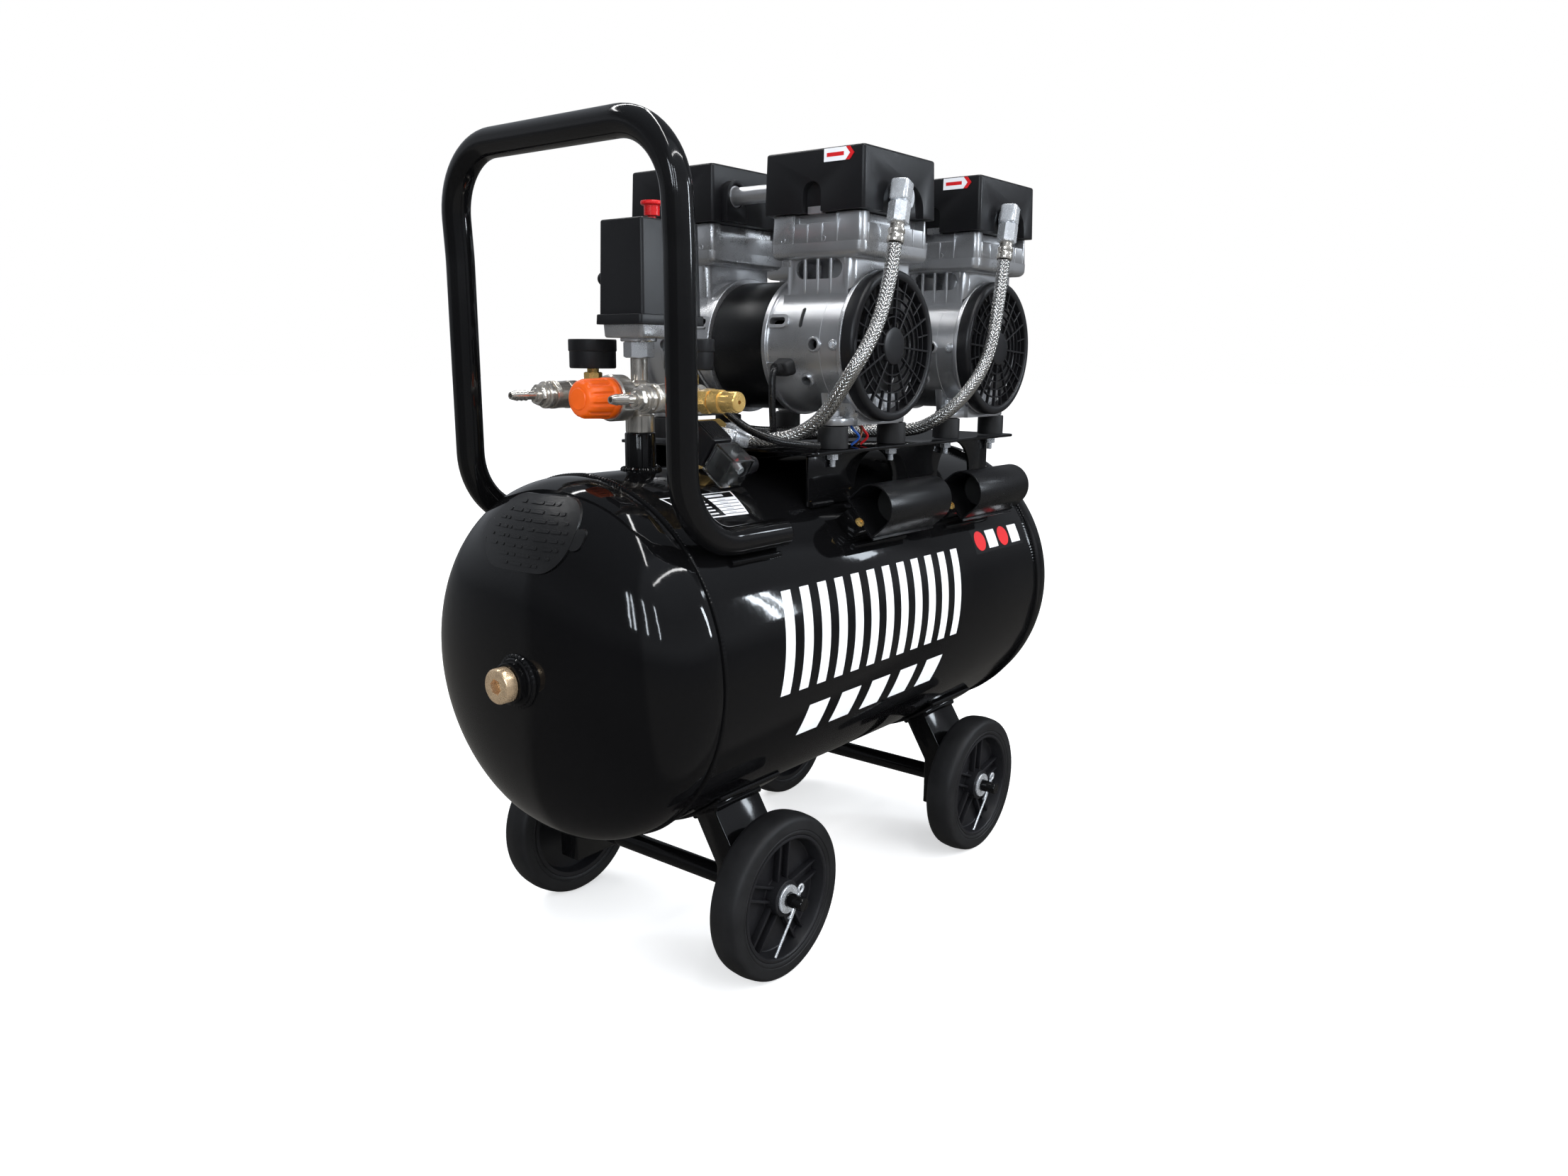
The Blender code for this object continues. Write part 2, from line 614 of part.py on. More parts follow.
def make_guard(unit, x, end, side):
    """Fan guard as a lattice in polar cells: hub disc, spokes, one middle ring and a deep outer ring."""
    divisions = 2 * GUARD_SPOKES
    radii = [0.0, 0.0165, 0.0370, 0.0400, 0.0590, GUARD_R]
    depth = [0.0030, 0.0030, 0.0030, 0.0030, 0.0140]
    half_spoke = 0.045
    angles = []
    for k in range(GUARD_SPOKES):
        angles += [2 * pi * k / GUARD_SPOKES - half_spoke, 2 * pi * k / GUARD_SPOKES + half_spoke]

    def solid(band, sector):
        return band in (0, 2, 4) or sector % 2 == 0

    bm = bmesh.new()
    made = {}

    def vert(ring, sector, deep):
        sector = 0 if ring == 0 else sector % divisions
        key = (ring, sector, round(deep, 6))
        if key not in made:
            a = angles[sector]
            made[key] = bm.verts.new((x + radii[ring] * cos(a), side * (GUARD_FACE - deep),
                                      SHAFT_Z + radii[ring] * sin(a)))
        return made[key]

    def face(*corners):
        unique = list(dict.fromkeys(corners))
        if len(unique) > 2:
            bm.faces.new(unique)

    for band in range(5):
        back = depth[band]
        for sector in range(divisions):
            if not solid(band, sector):
                continue
            nxt = sector + 1
            for deep in (0.0, back):
                face(vert(band, sector, deep), vert(band, nxt, deep),
                     vert(band + 1, nxt, deep), vert(band + 1, sector, deep))
            for ring, other in ((band, band - 1), (band + 1, band + 1)):
                if other < 0:
                    continue
                open_side = other > 4 or not solid(other, sector)
                levels = [0.0, back] if open_side else [depth[other], back]
                if band == 4 and ring == 4:
                    levels = [0.0, depth[3], back] if open_side else [depth[3], back]
                for top, low in zip(levels, levels[1:]):
                    if low > top:
                        face(vert(ring, sector, top), vert(ring, nxt, top),
                             vert(ring, nxt, low), vert(ring, sector, low))
            for edge, other in ((sector, sector - 1), (nxt, nxt)):
                if not solid(band, other % divisions):
                    face(vert(band, edge, 0.0), vert(band + 1, edge, 0.0),
                         vert(band + 1, edge, back), vert(band, edge, back))
    guard = from_bmesh(f"guard_{end}_{unit}", bm)
    finish(guard, BLACK_MATT)


def make_rotor(unit, x):
    """Motor shaft with its rotor core and a six-bladed fan at each end."""
    shaft = lathe(f"rotor_{unit}", "Y", (x, SHAFT_Z),
                  [(0, -0.1195), (SHAFT_R, -0.1195), (SHAFT_R, -0.030), (0.0110, -0.030), (0.0110, 0.030),
                   (SHAFT_R, 0.030), (SHAFT_R, 0.1195), (0, 0.1195)], 12)
    for side in (-1, 1):
        hub_span = both_ways(side, FAN_Y - 0.006, FAN_Y + 0.006)
        weld(shaft, rod("fan_hub", "Y", (x, SHAFT_Z), 0.0150, *hub_span, 14, 0.05))
        for k in range(FAN_BLADES):
            blade = box("blade", (-0.0012, 0.0012), (-0.0045, 0.0045), (0.012, FAN_R))
            blade.data.transform(Matrix.Rotation(radians(FAN_PITCH * side), 4, "Z"))
            blade.data.transform(Matrix.Rotation(2 * pi * k / FAN_BLADES, 4, "Y"))
            blade.data.transform(Matrix.Translation((x, side * FAN_Y, SHAFT_Z)))
            weld(shaft, blade)
    finish(shaft, BLACK_MATT, (x, 0, SHAFT_Z))


def make_crossover(unit, x):
    """Aluminium tube that joins the two head covers of a unit."""
    end = HEAD_MID - COVER_HALF[1] - GAP
    tube = lathe(f"crossover_{unit}", "Y", (x + CROSSOVER_DX, CROSSOVER_Z),
                 [(0, -end), (0.0098, -end), (0.0098, -end + 0.004), (0.0080, -end + 0.006),
                  (0.0080, end - 0.006), (0.0098, end - 0.004), (0.0098, end), (0, end)], 14)
    finish(tube, CAST)


# ---------------------------------------------------------------- controls

def make_switch():
    """Pressure switch: die-cast base with its hexagon neck, plastic cover and pull knob."""
    base = box("switch_base", (SWITCH_X - 0.035, SWITCH_X + 0.035), (-0.0235, 0.0235),
               (0.5555, 0.5660), 0.002, 1)
    neck = rod("neck", "Z", (RISER_X, 0), 0.0126, 0.5390, 0.5560, 6)
    weld(base, neck)
    finish(base, CAST)

    middle = (SWITCH_X, 0)
    cover = tapered_box("switch_cover", (0.0360, 0.0260), (0.0344, 0.0246), middle, (0.5700, 0.6520), 0.003)
    skirt = tapered_box("skirt", (0.0395, 0.0270), (0.0375, 0.0262), middle, (0.5664, 0.5750), 0.0012)
    gland = rod("gland", "Y", (-0.212, 0.605), 0.0055, 0.020, 0.0360, 14)
    weld(cover, skirt, gland)
    cut(cover, rod("well", "Z", (KNOB_X, 0), 0.0050, 0.637, 0.660, 16))
    finish(cover, BLACK_MATT)

    top = 0.6525
    knob = lathe("switch_knob", "Z", (KNOB_X, 0),
                 [(0, 0.6425), (0.0035, 0.6425), (0.0035, top + 0.0055), (0.0085, top + 0.0060),
                  (0.0090, top + 0.0150), (0.0080, top + 0.0165), (0, top + 0.0165)], 18)
    finish(knob, RED, (KNOB_X, 0, top))


def make_manifold():
    """Nickel cross: collar and nipple on the riser, outlet bar, regulator body and two coupler cores."""
    bar = rod("manifold", "Y", (RISER_X, BAR_Z), 0.0110, -BAR_END, BAR_END, 14)
    parts = [
        lathe("collar", "Z", (RISER_X, 0),
              [(0, RISER_TOP + GAP), (0.0105, RISER_TOP + GAP), (0.0105, 0.492), (0.009, 0.494),
               (0.009, BAR_Z), (0, BAR_Z)], 14, 0.1),
        rod("nipple", "Z", (RISER_X, 0), 0.0072, BAR_Z, 0.5386, 12, 0.06),
        lathe("regulator", "X", (0, BAR_Z), [(0, -0.2405), (0.0180, -0.2405), (0.0195, -0.2385),
                                             (0.0195, -0.2260), (0.0130, -0.2230), (0.0130, RISER_X),
                                             (0, RISER_X)], 20, 0.04),
    ]
    for side in (-1, 1):
        y = side * OUTLET_Y
        parts.append(rod("boss", "Z", (RISER_X, y), 0.0095, BAR_Z, 0.5165, 12, 0.08))
        core = lathe("core", "X", (y, COUPLER_Z),
                     [(0, RISER_X), (0.0100, RISER_X), (0.0100, -0.2160), (0.0090, -0.2160),
                      (0.0090, -0.2545), (0.0100, -0.2545), (0.0100, -0.2700), (0.0046, -0.2720),
                      (0.0046, -0.2790), (0.0036, -0.2800), (0.0044, -0.2860), (0.0036, -0.2950),
                      (0, -0.2950)], 14, 0.03)
        parts.append(core)
    weld(bar, *parts)
    for side in (-1, 1):
        cut(bar, rod("barb_hole", "X", (side * OUTLET_Y, COUPLER_Z), 0.0022, -0.300, -0.262, 8))
    finish(bar, NICKEL)


def make_couplers():
    """Spring sleeves of the two quick couplers; each pulls back along +X."""
    for letter, side in (("left", 1), ("right", -1)):
        centre = (side * OUTLET_Y, COUPLER_Z)
        sleeve = lathe(f"coupler_sleeve_{letter}", "X", centre,
                       [(0.0104, -0.2530), (0.0120, -0.2520), (0.0120, -0.2395), (0.0112, -0.2390),
                        (0.0112, -0.2350), (0.0120, -0.2345), (0.0120, -0.2230), (0.0104, -0.2225)], 16)
        finish(sleeve, NICKEL, (-0.238, centre[0], centre[1]))


def make_regulator_knob():
    """Ribbed orange knob that turns about X."""
    start, face = -0.2409, -0.2735
    knob = lathe("regulator_knob", "X", (0, BAR_Z),
                 [(0, start), (0.0165, start), (0.0170, start - 0.006), (0.0155, start - 0.007),
                  (0.0155, face + 0.003), (0.0125, face), (0, face)], 20, 0.02)
    for k in range(8):
        angle = 2 * pi * (k + 0.5) / 8
        rib = box("rib", (face + 0.005, start - 0.0065), (-0.0028, 0.0028), (0.0120, 0.0166))
        rib.data.transform(Matrix.Rotation(angle, 4, "X"))
        rib.data.transform(Matrix.Translation((0, 0, BAR_Z)))
        weld(knob, rib)
    finish(knob, ORANGE, (start, 0, BAR_Z))


def make_gauges():
    """Pressure gauges that face up, each on its own stem."""
    for letter, side in (("left", 1), ("right", -1)):
        gauge = lathe(f"gauge_{letter}", "Z", (RISER_X, side * GAUGE_Y),
                      [(0, 0.5170), (0.0070, 0.5170), (0.0070, GAUGE_Z), (0.0205, GAUGE_Z),
                       (0.0205, 0.5440), (0.0212, 0.5445), (0.0212, 0.5545), (0.0192, 0.5545),
                       (0.0192, 0.5530), (0, 0.5530)], 20)
        finish(gauge, BLACK_MATT)


def make_safety_valve():
    """Brass relief valve on the -Y end of the outlet bar."""
    centre = (RISER_X, BAR_Z - 0.001)
    start = -BAR_END - GAP
    valve = lathe("safety_valve", "Y", centre,
                  [(0, start), (0.0070, start), (0.0070, -0.0740), (0.0080, -0.0745), (0.0080, -0.0840),
                   (0.0096, -0.0845), (0.0096, -0.0960), (0.0085, -0.0965), (0.0085, -0.1120),
                   (0.0078, -0.1130), (0, -0.1130)], 12, 0.05)
    weld(valve, rod("hexagon", "Y", centre, 0.0104, -0.0810, -0.0735, 6))
    cut(valve, rod("port", "Y", centre, 0.0015, -0.120, -0.105, 8))
    finish(valve, BRASS)


def make_check_valve():
    """Brass check valve body on the tank, with the ends of both hoses screwed into it."""
    x, y = CHECK_VALVE
    foot = TANK_Z + sqrt((TANK_R + GAP) ** 2 - 0.018 ** 2)
    body = rod("check_valve", "Z", (x, y), 0.0110, foot, 0.4660, 6)
    parts = [
        rod("block", "X", (y, CHECK_VALVE_Z), 0.0115, -0.1700, -0.1330, 6),
        rod("throat", "Z", (x, y), 0.0080, 0.4600, CHECK_VALVE_Z, 14),
        rod("tail", "X", (y, CHECK_VALVE_Z), 0.0070, -0.1340, -0.1180, 14),
        sweep("branch", [Vector((x + 0.003, y, CHECK_VALVE_Z)), Vector((-0.1440, -0.0440, 0.4735)),
                         Vector((-0.1354, -0.0536, 0.4706))], 0.0068, 12),
    ]
    weld(body, *parts)
    finish(body, BRASS)


def make_solenoid():
    """Unloader coil beside the check valve, with its square plug box and cable gland."""
    coil = box("solenoid", (-0.1960, -0.1710), (-0.0440, -0.0160), (0.4600, 0.4880), 0.002, 1)
    neck = box("neck", (-0.1900, -0.1780), (-0.0620, -0.0400), (0.4580, 0.4740))
    plug_box = box("plug_box", (-0.1970, -0.1700), (-0.0860, -0.0580), (0.4450, 0.4730), 0.0015, 1)
    gland = rod("gland", "X", (-0.0720, 0.4560), 0.0085, -0.1750, -0.1490, 16)
    weld(coil, neck, plug_box, gland)
    finish(coil, BLACK_MATT)


def make_hose_fitting(unit, x):
    """Zinc elbow, union nut and crimped ferrule on the front cover of a unit, leaning towards -X."""
    face = -(HEAD_MID + COVER_HALF[1] - 0.006) - GAP
    root = Vector((x + 0.001, face, 0.6805))
    bend = Vector((x - 0.0175, -0.1515, 0.6840))
    end = Vector((x - 0.0275, -0.1525, 0.6390))
    stem = root + Vector((0, -0.006, 0))
    line = rounded_path([(root, 0), (stem, 0), (bend, 0.008), (end, 0)], 4)
    elbow = sweep(f"hose_fitting_{unit}", line, 0.0064, 12)
    weld(elbow,
         rod("collar", "Y", (root.x + 0.002, root.z), 0.0105, face - 0.0060, face, 6, 0.1),
         sweep("nut", [bend.lerp(end, 0.20), bend.lerp(end, 0.58)], 0.0083, 6),
         sweep("ferrule", [bend.lerp(end, 0.64), end], 0.0074, 14))
    finish(elbow, ZINC)


# ---------------------------------------------------------------- electrics, hoses and cables

def make_capacitor_cover(number, x0, x1):
    """Hollow cover over a run capacitor: half-round top, flat base, open at -X, held off the tank."""
    lean = radians(CAP_LEAN)
    out = Vector((-cos(lean), sin(lean)))
    along = Vector((-sin(lean), -cos(lean)))
    base = Vector((0, TANK_Z)) + out * (TANK_R + CAP_LIFT)

    def section(radius, floor):
        """Half round of that radius on straight sides that start at floor above the base."""
        heart = base + out * CAP_RISE
        shape = [base + out * floor - along * radius]
        for k in range(11):
            angle = pi * k / 10
            shape.append(heart - along * (radius * cos(angle)) + out * (radius * sin(angle)))
        shape.append(base + out * floor + along * radius)
        return [tuple(p) for p in shape]

    def strip(half, low, high):
        """A flat bar across the base, between two heights."""
        return [tuple(base + along * a + out * h)
                for a, h in ((-half, low), (-half, high), (half, high), (half, low))]

    shell = prism(f"capacitor_cover_{number}", "X", section(CAP_R, 0.0), x0, x1)
    weld(shell, prism("flange", "X", strip(0.0240, 0.0003, 0.0020), x0 + 0.0005, x1 - 0.0010))
    cut(shell, prism("hollow", "X", section(CAP_R - CAP_WALL, 0.0024), x0 - 0.01, x1 - CAP_WALL))
    bracket = prism("bracket", "X", strip(0.0120, -0.0190, 0.0008), x0 - 0.008, x1 - 0.022)
    cut(bracket, rod("belly", "X", (0, TANK_Z), TANK_R + GAP, x0 - 0.02, x1 + 0.01, 120))
    weld(shell, bracket)
    finish(shell, BLACK_MATT)


HOSE_R = 0.0066
SWITCH_CABLE_R = 0.0036
MOTOR_CABLE_R = 0.0032
HOSE_ROUTES = {
    "1": [(-0.0424, -0.1525, 0.6378), (-0.0450, -0.1528, 0.6260), (-0.0505, -0.1535, 0.6090),
          (-0.0590, -0.1540, 0.5885), (-0.0700, -0.1540, 0.5680), (-0.0830, -0.1520, 0.5480),
          (-0.0930, -0.1470, 0.5310), (-0.0975, -0.1370, 0.5130), (-0.0975, -0.1240, 0.4960),
          (-0.0985, -0.1080, 0.4820), (-0.1040, -0.0910, 0.4725), (-0.1145, -0.0755, 0.4685),
          (-0.1250, -0.0640, 0.4685), (-0.1346, -0.0545, 0.4703)],
    "2": [(0.1604, -0.1525, 0.6378), (0.1578, -0.1528, 0.6260), (0.1535, -0.1535, 0.6090),
          (0.1480, -0.1540, 0.5885), (0.1430, -0.1540, 0.5680), (0.1370, -0.1525, 0.5480),
          (0.1290, -0.1490, 0.5290), (0.1180, -0.1420, 0.5100), (0.1080, -0.1310, 0.4935),
          (0.1010, -0.1160, 0.4805), (0.0980, -0.0980, 0.4715), (0.0920, -0.0790, 0.4680),
          (0.0780, -0.0610, 0.4672), (0.0550, -0.0475, 0.4670), (0.0200, -0.0385, 0.4670),
          (-0.0200, -0.0340, 0.4678), (-0.0700, -0.0305, 0.4700), (-0.1000, -0.0300, 0.4730),
          (-0.1172, -0.0300, 0.4740)],
}
SWITCH_CABLE = [(-0.1560, -0.012, 0.5550), (-0.1560, -0.012, 0.5450), (-0.1540, -0.022, 0.525),
                (-0.1490, -0.042, 0.500), (-0.1400, -0.066, 0.4800), (-0.1280, -0.092, 0.4690),
                (-0.1160, -0.112, 0.4660), (-0.1060, -0.1215, 0.4647)]
MOTOR_CABLE = [(-0.0860, -0.0575, 0.5300), (-0.0900, -0.0580, 0.5300), (-0.0945, -0.0590, 0.522),
               (-0.0960, -0.0600, 0.505), (-0.0955, -0.0605, 0.485), (-0.0930, -0.0600, 0.468),
               (-0.0900, -0.0600, 0.4634)]


def make_cords():
    for unit, route in HOSE_ROUTES.items():
        finish(cord(f"hose_{unit}", route, HOSE_R, 2), BRAID)
    finish(cord("switch_cable", SWITCH_CABLE, SWITCH_CABLE_R, 2), BLACK_MATT)
    finish(cord("motor_cable", MOTOR_CABLE, MOTOR_CABLE_R, 2), BLACK_MATT)


# ---------------------------------------------------------------- assembly

def build():
    clear_scene()
    make_tank()
    make_plug()
    make_handle()
    for place, x in WHEEL_XS.items():
        make_undercarriage(place, x)
    for name, x, side in wheel_names():
        make_tyre(name, x, side)
        make_hub(name, x, side)
    make_mount_plate()
    make_feet()
    for unit, x in UNIT_XS.items():
        make_stator(unit, x)
        make_rotor(unit, x)
        make_crossover(unit, x)
        make_hose_fitting(unit, x)
        for end, side in (("front", -1), ("rear", 1)):
            make_pump(unit, x, end, side)
            make_cover(unit, x, end, side)
            make_guard(unit, x, end, side)
    make_switch()
    make_manifold()
    make_couplers()
    make_regulator_knob()
    make_gauges()
    make_safety_valve()
    make_check_valve()
    make_solenoid()
    for number, (x0, x1) in CAP_XS.items():
        make_capacitor_cover(number, x0, x1)
    make_cords()
    for item in bpy.data.objects:
        item.location += SHIFT


build()
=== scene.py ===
"""Looks for the twin-pump air compressor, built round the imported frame.

Sizes are in metres.  Shapes are drawn in the tank's own frame: X along the tank's axis, Y = 0 in its
middle plane and Z = 0 on the floor.  place() moves each finished piece by ORIGIN into the row's frame.
"""

from math import atan, atan2, ceil, cos, degrees, pi, radians, sin, sqrt

import bmesh
import bpy
from mathutils import Matrix, Vector


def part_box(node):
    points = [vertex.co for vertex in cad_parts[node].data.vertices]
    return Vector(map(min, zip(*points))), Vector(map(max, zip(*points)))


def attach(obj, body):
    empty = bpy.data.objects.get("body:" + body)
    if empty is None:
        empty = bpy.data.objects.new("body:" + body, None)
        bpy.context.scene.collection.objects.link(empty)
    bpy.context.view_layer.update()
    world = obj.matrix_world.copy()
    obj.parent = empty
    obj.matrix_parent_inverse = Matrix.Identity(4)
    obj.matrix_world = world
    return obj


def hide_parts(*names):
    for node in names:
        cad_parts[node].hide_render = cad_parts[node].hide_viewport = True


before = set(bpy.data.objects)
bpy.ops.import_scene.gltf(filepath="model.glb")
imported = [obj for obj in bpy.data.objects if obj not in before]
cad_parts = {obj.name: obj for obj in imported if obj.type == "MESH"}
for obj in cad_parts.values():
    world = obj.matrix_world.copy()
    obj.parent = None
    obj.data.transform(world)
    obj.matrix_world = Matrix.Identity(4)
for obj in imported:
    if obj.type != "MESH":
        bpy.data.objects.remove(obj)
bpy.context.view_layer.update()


def middle(node):
    low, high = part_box(node)
    return (low + high) / 2


# Driving sizes
UNIT_XS = {"1": -0.0146, "2": 0.1882}
ORIGIN = Vector((middle("stator_1").x - UNIT_XS["1"], middle("handle").y, 0.0))
TANK_R = 0.156
TANK_Z = 0.287
SEAM_X = 0.269
DOME_DEPTH = 0.083
DOME_START = 0.273
DOME_POWER = 2.35
TANK_TOP = TANK_Z + TANK_R
TANK_AXIS = (0, TANK_Z)
RISER_X = -0.204
PLUG_Y = -0.012
WHEEL_XS = {"near": -0.179, "far": 0.172}
WHEEL_R = 0.075
WHEEL_FACE = 0.1495
WHEEL_W = 0.030
WHEEL_BACK = WHEEL_FACE - WHEEL_W
TYRE_BORE = 0.0572
LEG_Y = 0.104
LEG_TURN = 29
HANDLE_Y = 0.128
HANDLE_TOP = 0.708
TUBE_R = 0.012
SHAFT_Z = 0.5514
DRUM_R = 0.062
HEAD_MID = 0.0858
COVER_HALF = (0.0592, 0.0548)
COVER_Z = (0.6660, 0.7185)
CROSSOVER = (-0.032, 0.690)
FAN_FACE = -0.1380
FOOT_DX = 0.0486
FOOT_Y = 0.105
FOOT_Z = (0.4594, 0.4797)
PLATE_Z = (0.456, 0.459)
WEB_Y = 0.100
BAR_Z = 0.5055
OUTLET_Y = 0.060
COUPLER_Z = BAR_Z + 0.0015
SWITCH_X = -0.189
BRANCH_Z = 0.4740

# The unloader coil's assembly is drawn upright at the origin, tipped by COIL_LEAN and moved to COIL_AT.
COIL_AT = (-0.1815, -0.0805, 0.4520)
COIL_LEAN = 35.0

# The capacitor covers stand on the tank's shoulder: (y, z) directions out of the tank and down along it.
COVER_XS = {"1": (-0.060, 0.046), "2": (0.104, 0.210)}
COVER_LEAN = radians(39.5)
LEAN_OUT = Vector((-cos(COVER_LEAN), sin(COVER_LEAN)))
LEAN_ALONG = Vector((-sin(COVER_LEAN), -cos(COVER_LEAN)))

HOSE_R = 0.0066
HOSE_ROUTES = {
    "1": [(-0.0424, -0.1525, 0.6378), (-0.0450, -0.1528, 0.6260), (-0.0505, -0.1535, 0.6090),
          (-0.0590, -0.1540, 0.5885), (-0.0700, -0.1540, 0.5680), (-0.0830, -0.1520, 0.5480),
          (-0.0930, -0.1470, 0.5310), (-0.0975, -0.1370, 0.5130), (-0.0975, -0.1240, 0.4960),
          (-0.0985, -0.1080, 0.4820), (-0.1040, -0.0910, 0.4725), (-0.1145, -0.0755, 0.4685),
          (-0.1250, -0.0640, 0.4685), (-0.1346, -0.0545, 0.4703)],
    "2": [(0.1604, -0.1525, 0.6378), (0.1578, -0.1528, 0.6260), (0.1535, -0.1535, 0.6090),
          (0.1480, -0.1540, 0.5885), (0.1430, -0.1540, 0.5680), (0.1370, -0.1525, 0.5480),
          (0.1290, -0.1490, 0.5290), (0.1180, -0.1420, 0.5100), (0.1080, -0.1310, 0.4935),
          (0.1010, -0.1160, 0.4805), (0.0980, -0.0980, 0.4715), (0.0920, -0.0790, 0.4680),
          (0.0780, -0.0610, 0.4672), (0.0550, -0.0475, 0.4670), (0.0200, -0.0385, 0.4670),
          (-0.0200, -0.0340, 0.4678), (-0.0700, -0.0305, 0.4700), (-0.1000, -0.0300, 0.4730),
          (-0.1172, -0.0300, 0.4740)],
}
SWITCH_CABLE = [(-0.1560, -0.012, 0.5550), (-0.1560, -0.012, 0.5450), (-0.1540, -0.022, 0.525),
                (-0.1490, -0.042, 0.500), (-0.1400, -0.066, 0.4800), (-0.1280, -0.092, 0.4690),
                (-0.1160, -0.112, 0.4660), (-0.1060, -0.1215, 0.4647)]
MOTOR_CABLE = [(-0.0860, -0.0575, 0.5300), (-0.0900, -0.0580, 0.5300), (-0.0945, -0.0590, 0.522),
               (-0.0960, -0.0600, 0.505), (-0.0955, -0.0605, 0.485), (-0.0930, -0.0600, 0.468),
               (-0.0900, -0.0600, 0.4634)]

# Steel braid of the hoses: ribbons each way round, metres for a full turn, half the angle that a ribbon
# covers, how far it rises and dips, and its section as (share of the half angle, height) points
CARRIERS = 12
BRAID_PITCH = 0.045
RIBBON = 0.190
WEAVE = 0.00020
RIBBON_SECTION = ((-1, -0.00034), (-0.55, -0.00010), (0, 0.0), (0.55, -0.00010), (1, -0.00034),
                  (0.6, -0.0006), (-0.6, -0.0006))

# Raised details: a film on the tank, then what is printed on it
PRINT_LIFT = 0.00026
MARK_LIFT = 0.00034
STICKER_CORNERS = ((-0.2576, 25.7), (-0.1630, 26.4), (-0.2400, 37.6), (-0.1700, 38.4))

BACKDROP = 1.0
WINDOW_BLUE = (0.84, 0.92, 1.0)
WHITE = (1.0, 1.0, 1.0)
MIRROR_Y = Matrix.Scale(-1, 4, (0, 1, 0))

# For each axis of a turned or drawn-out piece: where its two section values and its length go in X, Y, Z
ALONG = {"X": (1, 2, 0), "Y": (0, 2, 1), "Z": (0, 1, 2)}

BLACK = (0.0030, 0.0030, 0.0033)
FINISHES = {
    "enamel": dict(colour=BLACK, roughness=0.060, spread=0.02, patch=9, grain=260, bump=0.03,
                   depth=0.0003, wave=0.07, spec=0.29),
    "powder": dict(colour=BLACK, roughness=0.085, spread=0.03, patch=12, grain=300, bump=0.05,
                   depth=0.0003, wave=0.05, spec=0.42),
    "motor": dict(colour=(0.0045, 0.0045, 0.0050), roughness=0.30, spec=0.35, patch=10, grain=700, bump=0.10),
    "moulded": dict(colour=(0.0064, 0.0064, 0.0074), roughness=0.36, spec=0.36, spread=0.05, patch=14,
                    grain=2200, bump=0.22, depth=0.00015),
    "guard": dict(colour=(0.0070, 0.0070, 0.0080), roughness=0.33, spec=0.38, patch=20, grain=1500),
    "hub": dict(colour=(0.0085, 0.0085, 0.0100), roughness=0.42, spec=0.36, patch=22, grain=1300, bump=0.22),
    "tyre": dict(colour=(0.0090, 0.0090, 0.0098), roughness=0.50, spec=0.34, spread=0.08, mottle=0.3,
                 patch=30, grain=1400, bump=0.30, depth=0.0003),
    "rubber": dict(colour=(0.0110, 0.0110, 0.0118), roughness=0.55, spread=0.08, mottle=0.3, patch=60,
                   grain=1200, bump=0.25),
    "cable": dict(colour=(0.0060, 0.0060, 0.0065), roughness=0.28, patch=50, bump=0.10),
    "cast": dict(colour=(0.60, 0.605, 0.62), roughness=0.30, metallic=0.90, mottle=0.06, patch=16,
                 grain=1500, bump=0.28, depth=0.00016),
    "zinc": dict(colour=(0.80, 0.83, 0.87), roughness=0.26, metallic=0.72, spread=0.08, mottle=0.14,
                 patch=90, grain=700, bump=0.03),
    "nickel": dict(colour=(0.72, 0.68, 0.62), roughness=0.20, metallic=0.90, mottle=0.08, patch=70,
                   bump=0.03),
    "brass": dict(colour=(0.86, 0.58, 0.20), roughness=0.24, metallic=0.80, spread=0.07, mottle=0.10,
                  patch=60, grain=1100, bump=0.03),
    "yellow_zinc": dict(colour=(0.84, 0.62, 0.40), roughness=0.26, metallic=0.80, spread=0.08, mottle=0.16,
                        patch=110, bump=0.03),
    "braid": dict(colour=(0.62, 0.61, 0.59), roughness=0.24, metallic=1.0, spread=0.04, mottle=0.08,
                  patch=120, grain=1800, bump=0.08),
    "braid_core": dict(colour=(0.012, 0.012, 0.012), roughness=0.6, patch=100),
    "orange": dict(colour=(0.72, 0.100, 0.003), roughness=0.32, spread=0.05, mottle=0.06, patch=50,
                   grain=1500, bump=0.12),
    "red": dict(colour=(0.62, 0.010, 0.012), roughness=0.28, spread=0.05, mottle=0.08, patch=60, grain=1200,
                bump=0.1),
    "white": dict(colour=(0.80, 0.81, 0.84), roughness=0.34, spread=0.05, mottle=0.03, patch=40, bump=0.05),
    "plate": dict(colour=(0.0060, 0.0060, 0.0064), roughness=0.34, spec=0.45, mottle=0.2, patch=40,
                  bump=0.20),
    "label_red": dict(colour=(0.56, 0.008, 0.012), roughness=0.35, mottle=0.05, bump=0.04),
    "label_black": dict(colour=(0.004, 0.004, 0.0045), roughness=0.22, spec=0.3, mottle=0.05, bump=0.04),
    "label_grey": dict(colour=(0.42, 0.43, 0.45), roughness=0.35, mottle=0.05, bump=0.04),
    "blue_wire": dict(colour=(0.02, 0.10, 0.45), roughness=0.35, bump=0.05),
    "brown_wire": dict(colour=(0.20, 0.07, 0.035), roughness=0.35, bump=0.05),
    "dark": dict(colour=(0.006, 0.006, 0.006), roughness=0.7, bump=0.05),
}


# ---------------------------------------------------------------- camera

